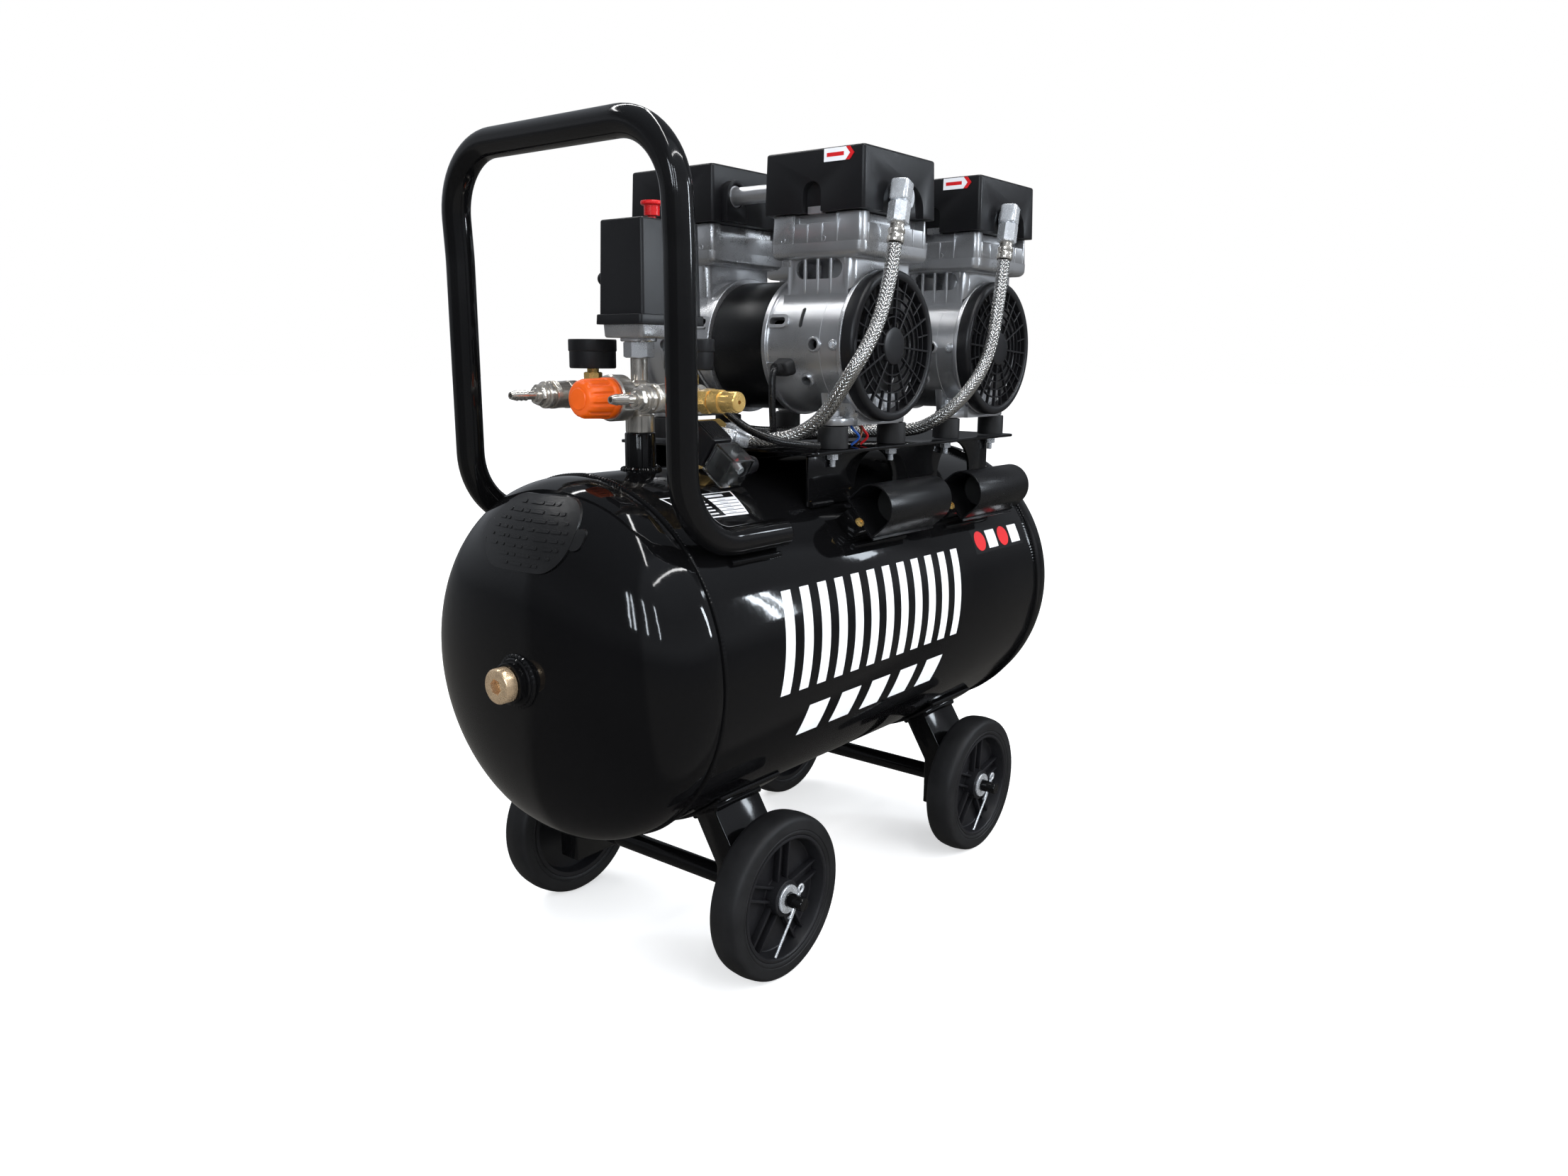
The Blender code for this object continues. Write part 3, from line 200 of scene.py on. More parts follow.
def make_camera():
    """Camera at the height of the pumps, to the left of the handle's end."""
    yaw, pitch, roll = radians(38.034), radians(11.457), radians(0.523)
    ahead = Vector((cos(yaw) * cos(pitch), sin(yaw) * cos(pitch), -sin(pitch)))
    level = ahead.cross(Vector((0, 0, 1))).normalized()
    rise = level.cross(ahead)
    across = level * cos(roll) + rise * sin(roll)
    upward = across.cross(ahead)
    data = bpy.data.cameras.new("camera")
    data.sensor_width = 36.0
    data.lens = 26.005
    data.clip_end = 200
    camera = in_scene("camera", data)
    camera.matrix_world = Matrix((across, upward, -ahead)).transposed().to_4x4()
    camera.location = Vector((-0.9070, -0.7101, 0.5395)) + ORIGIN
    bpy.context.scene.camera = camera


def in_scene(name, data):
    item = bpy.data.objects.new(name, data)
    bpy.context.scene.collection.objects.link(item)
    return item


# ---------------------------------------------------------------- materials

def add_node(tree, kind, inputs=None, **settings):
    node = tree.nodes.new(f"ShaderNode{kind}")
    for name, value in settings.items():
        setattr(node, name, value)
    feed(tree, node, inputs or {})
    return node


def feed(tree, node, inputs):
    """Give a node its inputs: a socket is linked, and a number or colour is set."""
    for name, value in inputs.items():
        if isinstance(value, bpy.types.NodeSocket):
            tree.links.new(value, node.inputs[name])
        else:
            node.inputs[name].default_value = value


def new_material(name):
    mat = bpy.data.materials.new(name)
    mat.use_nodes = True
    tree = mat.node_tree
    coords = add_node(tree, "TexCoord").outputs["Object"]
    return mat, tree, tree.nodes["Principled BSDF"], coords


def noise(tree, vector, scale, detail=3.0, rough=0.55):
    inputs = {"Scale": scale, "Detail": detail, "Roughness": rough, "Vector": vector}
    return add_node(tree, "TexNoise", inputs).outputs["Fac"]


def spread_over(tree, value, low, high, start=0.3, end=0.7):
    inputs = {"From Min": start, "From Max": end, "To Min": low, "To Max": high, "Value": value}
    return add_node(tree, "MapRange", inputs).outputs["Result"]


def surface(name, colour, roughness, metallic=0.0, spread=0.06, mottle=0.12, patch=18.0, grain=900.0,
            bump=0.15, depth=0.0002, wave=0.0, spec=0.5):
    """A procedural finish: slow colour patches, uneven gloss and a fine grain in the surface.

    wave adds a slow unevenness, as sprayed enamel has.
    """
    mat, tree, shader, coords = new_material(name)
    patches = noise(tree, coords, patch, 4.0)
    fine = noise(tree, coords, grain, 3.0, 0.6)
    dark = tuple(c * (1 - mottle) for c in colour)
    light = tuple(min(1.0, c * (1 + mottle)) for c in colour)
    shades = add_node(tree, "Mix", {"A": (*dark, 1.0), "B": (*light, 1.0),
                                    "Factor": spread_over(tree, patches, 0, 1)}, data_type="RGBA")
    mixed = add_node(tree, "Math", {0: spread_over(tree, patches, -0.5, 0.5),
                                    1: spread_over(tree, fine, -0.5, 0.5)}, operation="ADD")
    gloss = (max(0.02, roughness - spread), roughness + spread)
    relief = add_node(tree, "Bump", {"Strength": bump, "Distance": depth, "Height": fine})
    if wave:
        slow = add_node(tree, "Bump", {"Strength": wave, "Distance": 0.001,
                                       "Height": noise(tree, coords, 60.0, 2.0)})
        feed(tree, relief, {"Normal": slow.outputs["Normal"]})
    feed(tree, shader, {
        "Base Color": shades.outputs["Result"],
        "Roughness": spread_over(tree, mixed.outputs[0], *gloss, -1.0, 1.0),
        "Metallic": metallic,
        "Specular IOR Level": spec,
        "Normal": relief.outputs["Normal"],
    })
    return mat


def clear_plastic(name, tint, roughness):
    mat, tree, shader, coords = new_material(name)
    smear = spread_over(tree, noise(tree, coords, 40.0), roughness, roughness + 0.08)
    feed(tree, shader, {"Base Color": (*tint, 1.0), "Roughness": smear, "Transmission Weight": 1.0,
                        "IOR": 1.49})
    return mat


LOOK = {name: surface(name, **finish) for name, finish in FINISHES.items()}
LOOK["clear"] = clear_plastic("clear", (0.93, 0.95, 0.95), 0.05)


# ---------------------------------------------------------------- mesh tools

def from_bmesh(name, bm):
    bmesh.ops.remove_doubles(bm, verts=bm.verts, dist=1e-7)
    bmesh.ops.recalc_face_normals(bm, faces=bm.faces)
    mesh = bpy.data.meshes.new(name)
    bm.to_mesh(mesh)
    bm.free()
    return in_scene(name, mesh)


def place(item, look, body="base", node=None, round_by=0.0, sharp=32.0):
    """Finish a piece: shading, rounded edges, material, place in the row's frame, and its body."""
    if item.type == "MESH":
        item.data.transform(Matrix.Translation(ORIGIN))
        item.data.shade_smooth()
        if round_by:
            add_bevel(item, round_by, 2).harden_normals = True
        else:
            item.data.set_sharp_from_angle(angle=radians(sharp))
    item.data.materials.append(LOOK[look])
    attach(item, body)
    if node:
        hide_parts(node)
    return item


def add_bevel(item, width, steps, angle=40):
    edge = item.modifiers.new("Edges", "BEVEL")
    edge.width = width
    edge.segments = steps
    edge.limit_method = "ANGLE"
    edge.angle_limit = radians(angle)
    return edge


def bevel(item, width, steps=2, angle=40):
    add_bevel(item, width, steps, angle)
    bake(item)
    return item


def point(axis, a, b, along):
    spot = [0.0, 0.0, 0.0]
    for slot, value in zip(ALONG[axis], (a, b, along)):
        spot[slot] = value
    return Vector(spot)


def round_points(centre, radius, count, turn=0.0):
    return [(centre[0] + radius * cos(2 * pi * k / count + turn),
             centre[1] + radius * sin(2 * pi * k / count + turn)) for k in range(count)]


def bridge(bm, rings, closed=False):
    """Faces between rings of points of one count; closed joins the last ring to the first."""
    pairs = list(zip(rings, rings[1:]))
    if closed:
        pairs.append((rings[-1], rings[0]))
    for one, two in pairs:
        for k in range(len(one)):
            t = (k + 1) % len(one)
            bm.faces.new((one[k], one[t], two[t], two[k]))
    if not closed:
        bm.faces.new(rings[0])
        bm.faces.new(rings[-1])


def skinned(name, rings, closed=False):
    """A closed solid over rings of points of one count."""
    bm = bmesh.new()
    bridge(bm, [[bm.verts.new(spot) for spot in ring] for ring in rings], closed)
    return from_bmesh(name, bm)


def lathe(name, axis, centre, profile, sides=64, turn=0.0):
    """Turn a section of (radius, along) points about an axis; a section off the axis makes a ring."""
    bm = bmesh.new()
    rings = [[bm.verts.new(point(axis, a, b, along))
              for a, b in round_points(centre, radius, sides, turn)[:sides if radius > 1e-6 else 1]]
             for radius, along in profile]
    pairs = list(zip(rings, rings[1:]))
    if len(rings[0]) > 1 and len(rings[-1]) > 1:
        pairs.append((rings[-1], rings[0]))
    for one, two in pairs:
        for k in range(sides):
            after = (k + 1) % sides
            corners = [one[k % len(one)], one[after % len(one)], two[after % len(two)], two[k % len(two)]]
            unique = list(dict.fromkeys(corners))
            if len(unique) > 2:
                bm.faces.new(unique)
    return from_bmesh(name, bm)


def spindle(name, axis, centre, profile, sides=64, turn=0.0):
    """A turned solid: the section is closed to the axis at both ends."""
    return lathe(name, axis, centre, [(0, profile[0][1])] + profile + [(0, profile[-1][1])], sides, turn)


def rod(name, axis, centre, radius, low, high, sides=48, turn=0.0):
    return spindle(name, axis, centre, [(radius, low), (radius, high)], sides, turn)


def hexagon(name, axis, centre, radius, low, high, turn=0.0):
    """A hexagon bar with the turned chamfer of a nut at both ends."""
    bar = rod(name, axis, centre, radius, low, high, 6, turn)
    cut_in = radius * 0.16
    ends = [(0, low - 0.001), (radius - cut_in, low - 1e-5), (radius + 0.0002, low + cut_in * 0.6),
            (radius + 0.0002, high - cut_in * 0.6), (radius - cut_in, high + 1e-5), (0, high + 0.001)]
    return combine(bar, "INTERSECT", lathe("chamfer", axis, centre, ends, 48))


def prism(name, axis, outline, low, high):
    return skinned(name, [[point(axis, a, b, along) for a, b in outline] for along in (low, high)])


def rectangle(a0, a1, b0, b1):
    return [(a0, b0), (a1, b0), (a1, b1), (a0, b1)]


def box(name, xs, ys, zs):
    return prism(name, "Z", rectangle(*xs, *ys), *zs)


def arc(centre, radius, start, end, steps):
    angles = [radians(start + (end - start) * k / steps) for k in range(steps + 1)]
    return [(centre[0] + radius * cos(a), centre[1] + radius * sin(a)) for a in angles]


def rounded_rectangle(centre, half, radius, steps=5):
    x, y = centre
    hx, hy = half[0] - radius, half[1] - radius
    shape = []
    for start, (sx, sy) in zip((0, 90, 180, 270), ((1, 1), (-1, 1), (-1, -1), (1, -1))):
        shape += arc((x + sx * hx, y + sy * hy), radius, start, start + 90, steps)
    return shape


def stack(name, centre, layers, steps=6):
    """A block of rounded rectangles on top of each other; a layer is (z, half x, half y, corner)."""
    return skinned(name, [[(x, y, z) for x, y in rounded_rectangle(centre, (hx, hy), corner, steps)]
                          for z, hx, hy, corner in layers])


def block_layers(zs, low_half, high_half, corner, low_round, high_round, steps=4):
    """Layers of a block with draft whose lower and upper edges are rounded."""
    def at(z, inset):
        share = (z - zs[0]) / (zs[1] - zs[0])
        hx = low_half[0] + (high_half[0] - low_half[0]) * share - inset
        hy = low_half[1] + (high_half[1] - low_half[1]) * share - inset
        return (z, hx, hy, max(0.0006, corner - inset * 0.5))

    def rounded_edge(edge_z, up, radius):
        if not radius:
            return [at(edge_z, 0)]
        turns = [pi / 2 * k / steps for k in range(steps + 1)]
        return [at(edge_z + up * radius * (1 - cos(a)), radius * (1 - sin(a))) for a in turns]

    return rounded_edge(zs[0], 1, low_round) + rounded_edge(zs[1], -1, high_round)[::-1]


def block(name, centre, zs, low_half, high_half, corner, low_round, high_round, round_steps, steps):
    layers = block_layers(zs, low_half, high_half, corner, low_round, high_round, round_steps)
    return stack(name, centre, layers, steps)


def rounded_path(corners, steps=10):
    """A line through (point, fillet radius) corners, with each corner turned on an arc."""
    line = [Vector(corners[0][0])]
    for (a, _), (b, radius), (c, _) in zip(corners, corners[1:], corners[2:]):
        a, b, c = Vector(a), Vector(b), Vector(c)
        back, ahead = (a - b).normalized(), (c - b).normalized()
        if radius <= 0:
            line.append(b)
            continue
        half = back.angle(ahead) / 2
        reach = radius / (sin(half) / cos(half))
        heart = b + (back + ahead).normalized() * (radius / sin(half))
        start = (b + back * reach - heart).normalized()
        end = (b + ahead * reach - heart).normalized()
        for k in range(steps + 1):
            line.append(heart + start.slerp(end, k / steps) * radius)
    line.append(Vector(corners[-1][0]))
    return line


def length_of(line):
    return sum((b - a).length for a, b in zip(line, line[1:]))


def smooth(route, spacing):
    """Points about evenly spaced on a Catmull-Rom curve through the route."""
    knots = [Vector(p) for p in route]
    ends = [knots[0] * 2 - knots[1]] + knots + [knots[-1] * 2 - knots[-2]]
    dense = []
    for a, b, c, d in zip(ends, ends[1:], ends[2:], ends[3:]):
        for k in range(20):
            t = k / 20
            dense.append(0.5 * (2 * b + (c - a) * t + (2 * a - 5 * b + 4 * c - d) * t ** 2
                                + (3 * b - a - 3 * c + d) * t ** 3))
    dense.append(knots[-1])
    return evenly(dense, spacing)


def evenly(dense, spacing):
    total = length_of(dense)
    count = max(2, ceil(total / spacing))
    picked = [dense[0]]
    walked = 0.0
    for a, b in zip(dense, dense[1:]):
        step = (b - a).length
        while len(picked) < count and walked + step >= total * len(picked) / count:
            picked.append(a.lerp(b, (total * len(picked) / count - walked) / step))
        walked += step
    picked.append(dense[-1])
    return picked


def carried_frames(line):
    """(place, side, across) along a line, without twist."""
    side = Vector((0, 0, 1)) if abs((line[1] - line[0]).normalized().z) < 0.9 else Vector((1, 0, 0))
    frames = []
    for k, spot in enumerate(line):
        ahead = (line[min(k + 1, len(line) - 1)] - line[max(k - 1, 0)]).normalized()
        side = (side - ahead * side.dot(ahead)).normalized()
        frames.append((spot, side, ahead.cross(side)))
    return frames


def sweep(name, line, radius, sides=24, profile=None, closed=False):
    """A round bar along a line. profile(k) gives the share of the radius at point k."""
    rings = []
    for k, (spot, side, across) in enumerate(carried_frames(line)):
        reach = radius * (profile(k) if profile else 1.0)
        rings.append([spot + side * a + across * b for a, b in round_points((0, 0), reach, sides)])
    return skinned(name, rings, closed)


def blunt_bar(name, line, radius, sides=28, end=0.004):
    """A bar whose two ends are rounded over."""
    first = (line[1] - line[0]).normalized()
    last = (line[-1] - line[-2]).normalized()
    turns = [0.0, 0.3, 0.6, 0.85, 1.0]
    head = [line[0] + first * end * t for t in turns]
    tail = [line[-1] - last * end * t for t in reversed(turns)]
    shares = [1 - (end / radius) * (1 - sqrt(1 - (1 - t) ** 2)) for t in turns]
    scale = shares + [1.0] * (len(line) - 2) + shares[::-1]
    return sweep(name, head + line[1:-1] + tail, radius, sides, lambda k: scale[k])


def bake(item):
    bpy.context.view_layer.update()
    graph = bpy.context.evaluated_depsgraph_get()
    mesh = bpy.data.meshes.new_from_object(item.evaluated_get(graph))
    item.modifiers.clear()
    item.data = mesh


def combine(target, operation, *tools):
    for tool in tools:
        step = target.modifiers.new("Shape", "BOOLEAN")
        step.operation = operation
        step.solver = "EXACT"
        step.object = tool
        bake(target)
        bpy.data.objects.remove(tool, do_unlink=True)
    return target


def cut(target, *tools):
    return combine(target, "DIFFERENCE", *tools)


def gather(name, *items):
    """Several pieces as one object, for trim that is one item in real life or all alike."""
    bm = bmesh.new()
    for item in items:
        bm.from_mesh(item.data)
        bpy.data.objects.remove(item, do_unlink=True)
    mesh = bpy.data.meshes.new(name)
    bm.to_mesh(mesh)
    bm.free()
    return in_scene(name, mesh)


def turned(item, axis, degrees_round, about=(0, 0, 0)):
    about = Vector(about)
    item.data.transform(Matrix.Translation(about) @ Matrix.Rotation(radians(degrees_round), 4, axis)
                        @ Matrix.Translation(-about))
    return item


def moved(item, offset):
    item.data.transform(Matrix.Translation(Vector(offset)))
    return item


def copy_of(item, name, matrix):
    """A copy of a piece with its own mesh, mirrored ones with their faces turned back out."""
    twin = in_scene(name, item.data.copy())
    twin.data.transform(matrix)
    if matrix.determinant() < 0:
        twin.data.flip_normals()
    return twin


def aim(item, start, direction):
    """Stand a piece that was drawn up the Z axis from the origin at start, along direction."""
    turn = Vector((0, 0, 1)).rotation_difference(Vector(direction).normalized())
    item.data.transform(Matrix.Translation(Vector(start)) @ turn.to_matrix().to_4x4())
    return item


def weld_bead(name, line, radius, closed=False, seed=0.0):
    """A hand-laid weld: a ripple every 3.3 mm and a slow wander in its width."""
    dense = evenly(line, 0.0011)
    if closed:
        dense = dense[:-1]

    def swell(k):
        s = k * 0.0011
        slow, quick = sin(s * 61 + seed), sin(s * 143 + seed * 3)
        return 1 + 0.10 * sin(2 * pi * s / 0.0033) + 0.10 * slow + 0.07 * quick
    return sweep(name, dense, radius, 10, swell, closed)


def straight_bead(x0, x1, y, z, radius, seed, name="bead"):
    return weld_bead(name, [Vector((x0, y, z)), Vector((x1, y, z))], radius, seed=seed)


def knurl(axis, centre, radius, low, high, teeth, depth, pitch):
    """A closed sleeve with a crossed knurl; teeth counts the lines of one direction round it."""
    sides = teeth * 6
    rows = max(6, ceil((high - low) / (pitch / 4)))
    rings = []
    for row in range(rows + 1):
        along = low + (high - low) * row / rows
        twist = along * pi / pitch
        fade = min(1.0, min(row, rows - row) / 3)
        ring = []
        for s in range(sides):
            angle = 2 * pi * s / sides
            rise = abs(sin(teeth * angle / 2 + twist)) + abs(sin(teeth * angle / 2 - twist))
            reach = radius - depth * (1 - fade * rise / 2)
            ring.append(point(axis, centre[0] + reach * cos(angle), centre[1] + reach * sin(angle), along))
        rings.append(ring)
    return skinned("knurl", rings)


def cross_screw(profile, sides, reach, half, low, high):
    """A screw head drawn up from the origin, with a cross recess from low to high."""
    slots = [box("slot", (-a, a), (-b, b), (low, high)) for a, b in ((reach, half), (half, reach))]
    return cut(lathe("screw", "Z", (0, 0), profile, sides), *slots)


# ---------------------------------------------------------------- tank

def dome_x(reach):
    """Distance from the middle plane to the dome's surface at that distance from its axis."""
    return DOME_START + DOME_DEPTH * max(0.0, 1 - (reach / TANK_R) ** DOME_POWER) ** (1 / DOME_POWER)


def dome_profile(steps):
    shares = [sin(pi / 2 * k / steps) for k in range(steps + 1)]
    return [(TANK_R * (1 - t ** DOME_POWER) ** (1 / DOME_POWER), DOME_START + DOME_DEPTH * t) for t in shares]


def on_tank(turn, lift):
    """(y, z) of a point over the shell, turn degrees round from level on the +Y side."""
    reach = TANK_R + lift
    return reach * cos(radians(turn)), TANK_Z + reach * sin(radians(turn))


def ring_bead(name, ring, radius, seed):
    place(weld_bead(name, ring + ring[:1], radius, True, seed), "enamel")


def make_shell():
    """Rolled shell with a pressed dome at each end, the dome's rim tucked inside the shell."""
    half = [(TANK_R, SEAM_X - 0.0030), (TANK_R - 0.0006, SEAM_X - 0.0010), (TANK_R - 0.0008, SEAM_X + 0.0020)]
    half += dome_profile(40)[1:]
    outline = [(r, -x) for r, x in reversed(half)] + half
    place(lathe("tank_shell", "X", TANK_AXIS, outline, 192), "enamel", node="tank")
    for label, side in (("near", -1), ("far", 1)):
        x = side * (SEAM_X + 0.0006)
        ring = [Vector((x, y, z)) for y, z in round_points(TANK_AXIS, TANK_R - 0.0004, 720)]
        ring_bead(f"seam_weld_{label}", ring, 0.0021, side)


def make_tank_fittings():
    """Riser pipe, plug boss with its closing plug, and drain boss."""
    pipe = lathe("riser_pipe", "Z", (RISER_X, 0), [
        (0.0105, TANK_TOP - 0.004), (0.01345, TANK_TOP - 0.004), (0.01345, 0.4742), (0.0130, 0.4752),
        (0.0105, 0.4752)], 56)
    place(pipe, "enamel")
    foot = [Vector((x, y, TANK_Z + sqrt(TANK_R ** 2 - y ** 2) + 0.0006))
            for x, y in round_points((RISER_X, 0), 0.0150, 120)]
    ring_bead("riser_weld", foot, 0.0032, 2.0)
    make_plug_boss()
    low = TANK_Z - TANK_R
    drain = spindle("drain_boss", "Z", (0, 0), [
        (0.011, low + 0.004), (0.011, low - 0.0070), (0.0100, low - 0.0080)], 48)
    place(drain, "enamel")
    make_closing_plug()


def make_plug_boss():
    """Boss welded to the near dome, with a groove behind its rim."""
    centre = (PLUG_Y, TANK_Z)
    boss = spindle("plug_boss", "X", centre, [
        (0.0195, -0.345), (0.0195, -0.3588), (0.0185, -0.3600), (0.0168, -0.3602), (0.0160, -0.3606),
        (0.0160, -0.3632), (0.0168, -0.3636), (0.0168, -0.3656), (0.0160, -0.3662)], 72)
    place(boss, "enamel")
    ring_bead("plug_weld", [Vector((-dome_x(0.021), y, z)) for y, z in round_points(centre, 0.0200, 120)],
              0.0026, 4.0)


def make_closing_plug():
    """Zinc-plated plug with a hexagon socket."""
    centre = (PLUG_Y, TANK_Z)
    face = -0.3775
    plug = spindle("closing_plug", "X", centre, [
        (0.0136, -0.3664), (0.0143, -0.3672), (0.0143, face + 0.0016), (0.0134, face + 0.0004),
        (0.0126, face)], 64)
    cut(plug, rod("key", "X", centre, 0.0066, face - 0.002, face + 0.008, 6, radians(12)))
    place(plug, "yellow_zinc", node="tank_plug", round_by=0.0004)


def on_dome(name, outlines, lift, sink=0.0012):
    """Flat (y, z) outlines as thin plates that follow the near dome."""
    profile = dome_profile(36)
    shell = [(r + lift * 0.9, -(x + lift)) for r, x in profile]
    inner = [(max(0.0, r - sink * 0.9), -(x - sink)) for r, x in reversed(profile)]
    skin = lathe("skin", "X", TANK_AXIS, shell[:-1] + [(0, shell[-1][1]), (0, inner[0][1])] + inner[1:], 120)
    stamps = gather(name, *[prism("stamp", "X", outline, -0.372, -0.292) for outline in outlines])
    return combine(stamps, "INTERSECT", skin)


def make_dome_plate():
    """Embossed rating plate under the paint: two lugs, and rows of raised dashes."""
    y0, z0 = -0.004, 0.4025
    body = rounded_rectangle((y0, z0), (0.0490, 0.0285), 0.0265, 12)
    place(on_dome("dome_plate", [body], 0.0014), "plate", sharp=24)
    for label, side in (("left", 1), ("right", -1)):
        lug = rounded_rectangle((y0 + side * 0.0520, z0 - 0.001), (0.0055, 0.0080), 0.0052, 8)
        place(on_dome(f"dome_plate_lug_{label}", [lug], 0.0012), "plate", sharp=24)
    dashes = []
    for row, reach in enumerate((0.023, 0.033, 0.040, 0.043, 0.043, 0.040, 0.034, 0.023)):
        z = z0 + 0.0232 - row * 0.0066
        left, word = -reach, row
        while left < reach - 0.004:
            wide = min(0.0045 + 0.0026 * ((word * 7 + row * 3) % 5), reach - left)
            dashes.append(rounded_rectangle((y0 + left + wide / 2, z), (wide / 2, 0.0011), 0.0009, 2))
            left += wide + 0.0016 + 0.0040 * (word % 4 == 2)
            word += 1
    place(on_dome("dome_plate_dashes", dashes, 0.0019), "plate", sharp=24)


def wrapped(outline, lift=0.00016, name="film"):
    """A flat (x, degrees from the top towards -Y) outline laid on the tank as a thin film."""
    bm = bmesh.new()
    points = [(x, radians(turn) * TANK_R) for x, turn in outline]
    bridge(bm, [[bm.verts.new((x, s, height)) for x, s in points] for height in (-0.0002, lift)])
    low, high = min(s for _, s in points), max(s for _, s in points)
    step = radians(1.2) * TANK_R
    for k in range(1, int((high - low) / step) + 1):
        bmesh.ops.bisect_plane(bm, geom=bm.verts[:] + bm.edges[:] + bm.faces[:],
                               plane_co=(0, low + k * step, 0), plane_no=(0, 1, 0))
    for vert in bm.verts:
        x, s, h = vert.co
        angle = s / TANK_R
        vert.co = (x, -(TANK_R + h) * sin(angle), TANK_Z + (TANK_R + h) * cos(angle))
    return from_bmesh(name, bm)


def slanted(x0, x1, top, low, lean):
    """A bar with slanted ends, as (x, degrees) corners; lean moves its top along +X."""
    return [(x0 + lean, top), (x1 + lean, top), (x1, low), (x0, low)]


def spot_outline(x, turn, radius, steps=32):
    """A round outline on the tank, radius in metres."""
    return [(x + a, turn + degrees(b / TANK_R)) for a, b in round_points((0, 0), radius, steps)]


def make_tank_graphics():
    """Plain white bars, a strip of four plain signs and a ruled sticker, all without wording."""
    bars = [wrapped(slanted(x, x + 0.0125, 66.0, 98.0, 0.014)) for x in spaced(-0.2000, 0.0252, 12)]
    place(gather("tank_bars", *bars), "white")
    dashes = [wrapped(slanted(x, x + 0.030, 105.0, 116.0, 0.006)) for x in spaced(-0.160, 0.0485, 5)]
    place(gather("tank_dashes", *dashes), "white")
    make_tank_signs()
    make_tank_sticker()


def spaced(first, step, count):
    return [first + step * k for k in range(count)]


def make_tank_signs():
    """A dark strip with two red discs and two white squares, in turn."""
    place(wrapped(rectangle(0.1405, 0.2470, 60.6, 70.4), name="sign_strip"), "label_black")
    xs = spaced(0.1555, 0.0255, 4)
    reds = [wrapped(spot_outline(x, 65.5, 0.0108), PRINT_LIFT) for x in xs[::2]]
    whites = [wrapped(rectangle(x - 0.0100, x + 0.0100, 61.9, 69.1), PRINT_LIFT) for x in xs[1::2]]
    place(gather("sign_reds", *reds), "label_red")
    place(gather("sign_whites", *whites), "white")


def on_sticker(u0, u1, v0, v1, lift=PRINT_LIFT, name="film"):
    """A patch of the sticker: shares u along it and v down it, from its upper left corner."""
    top_left, top_right, low_left, low_right = [Vector(corner) for corner in STICKER_CORNERS]
    return wrapped([tuple(top_left.lerp(top_right, u).lerp(low_left.lerp(low_right, u), v))
                    for u, v in rectangle(u0, u1, v0, v1)], lift, name)


def make_tank_sticker():
    """Sticker on the shoulder of the shell: a dark head, then ruled rows with no wording."""
    place(on_sticker(0.06, 0.97, 0.02, 0.98, 0.00016, "sticker"), "white")
    panels = [on_sticker(0.08, 0.95, 0.06, 0.27), on_sticker(0.08, 0.58, 0.26, 0.94)]
    marks = [on_sticker(0.58, 0.82, 0.12, 0.21, MARK_LIFT)]
    spots = []
    for row, v in enumerate(spaced(0.32, 0.125, 5)):
        panels.append(on_sticker(0.56, 0.95, v + 0.070, v + 0.088))
        marks.append(on_sticker(0.30 - 0.04 * (row % 3), 0.50, v + 0.005, v + 0.050, MARK_LIFT))
        spots.append(on_sticker(0.68, 0.80, v + 0.015, v + 0.045))
    place(gather("sticker_panels", *panels), "label_black")
    place(gather("sticker_marks", *marks), "white")
    place(gather("sticker_spots", *spots), "label_grey")


# ---------------------------------------------------------------- handle and running gear

def make_handle():
    """Bent tube whose two ends lie along the tank, welded on both sides."""
    lie_z = TANK_Z + sqrt((TANK_R + TUBE_R + 0.0004) ** 2 - HANDLE_Y ** 2)
    half = [((-0.163, -HANDLE_Y, lie_z), 0), ((-0.2865, -HANDLE_Y, lie_z), 0.060),
            ((-0.2885, -HANDLE_Y, 0.620), 0.30), ((-0.2935, -HANDLE_Y, HANDLE_TOP), 0.056)]
    other = [((x, -y, z), r) for (x, y, z), r in reversed(half)]
    line = rounded_path(half + other, 16)
    place(blunt_bar("handle_tube", line, TUBE_R, 40), "powder", node="handle")
    lie_turn = degrees(atan2(lie_z - TANK_Z, HANDLE_Y))
    for label, side in (("right", -1), ("left", 1)):
        for edge, turn in (("over", 5.0), ("under", -5.0)):
            y, z = on_tank(lie_turn + turn, 0.0012)
            place(straight_bead(-0.232, -0.168, side * y, z, 0.0026, side + turn,
                                f"handle_weld_{label}_{edge}"), "enamel")


def leg_outline(side):
    slope = Vector((0.53, -0.848))
    out = Vector((0.848, 0.53)) * 0.0125
    knee = Vector((LEG_Y, 0.1054))
    start = knee - slope * 0.085
    shape = [start + out, knee + out + slope * 0.0020, knee + out * 1.02 + slope * 0.0060,
             Vector((LEG_Y + 0.0125, 0.0925)), Vector((LEG_Y + 0.0125, 0.050)),
             Vector((LEG_Y - 0.0125, 0.050)), Vector((LEG_Y - 0.0125, 0.100)), start - out]
    return [(side * p.x, p.y) for p in shape]


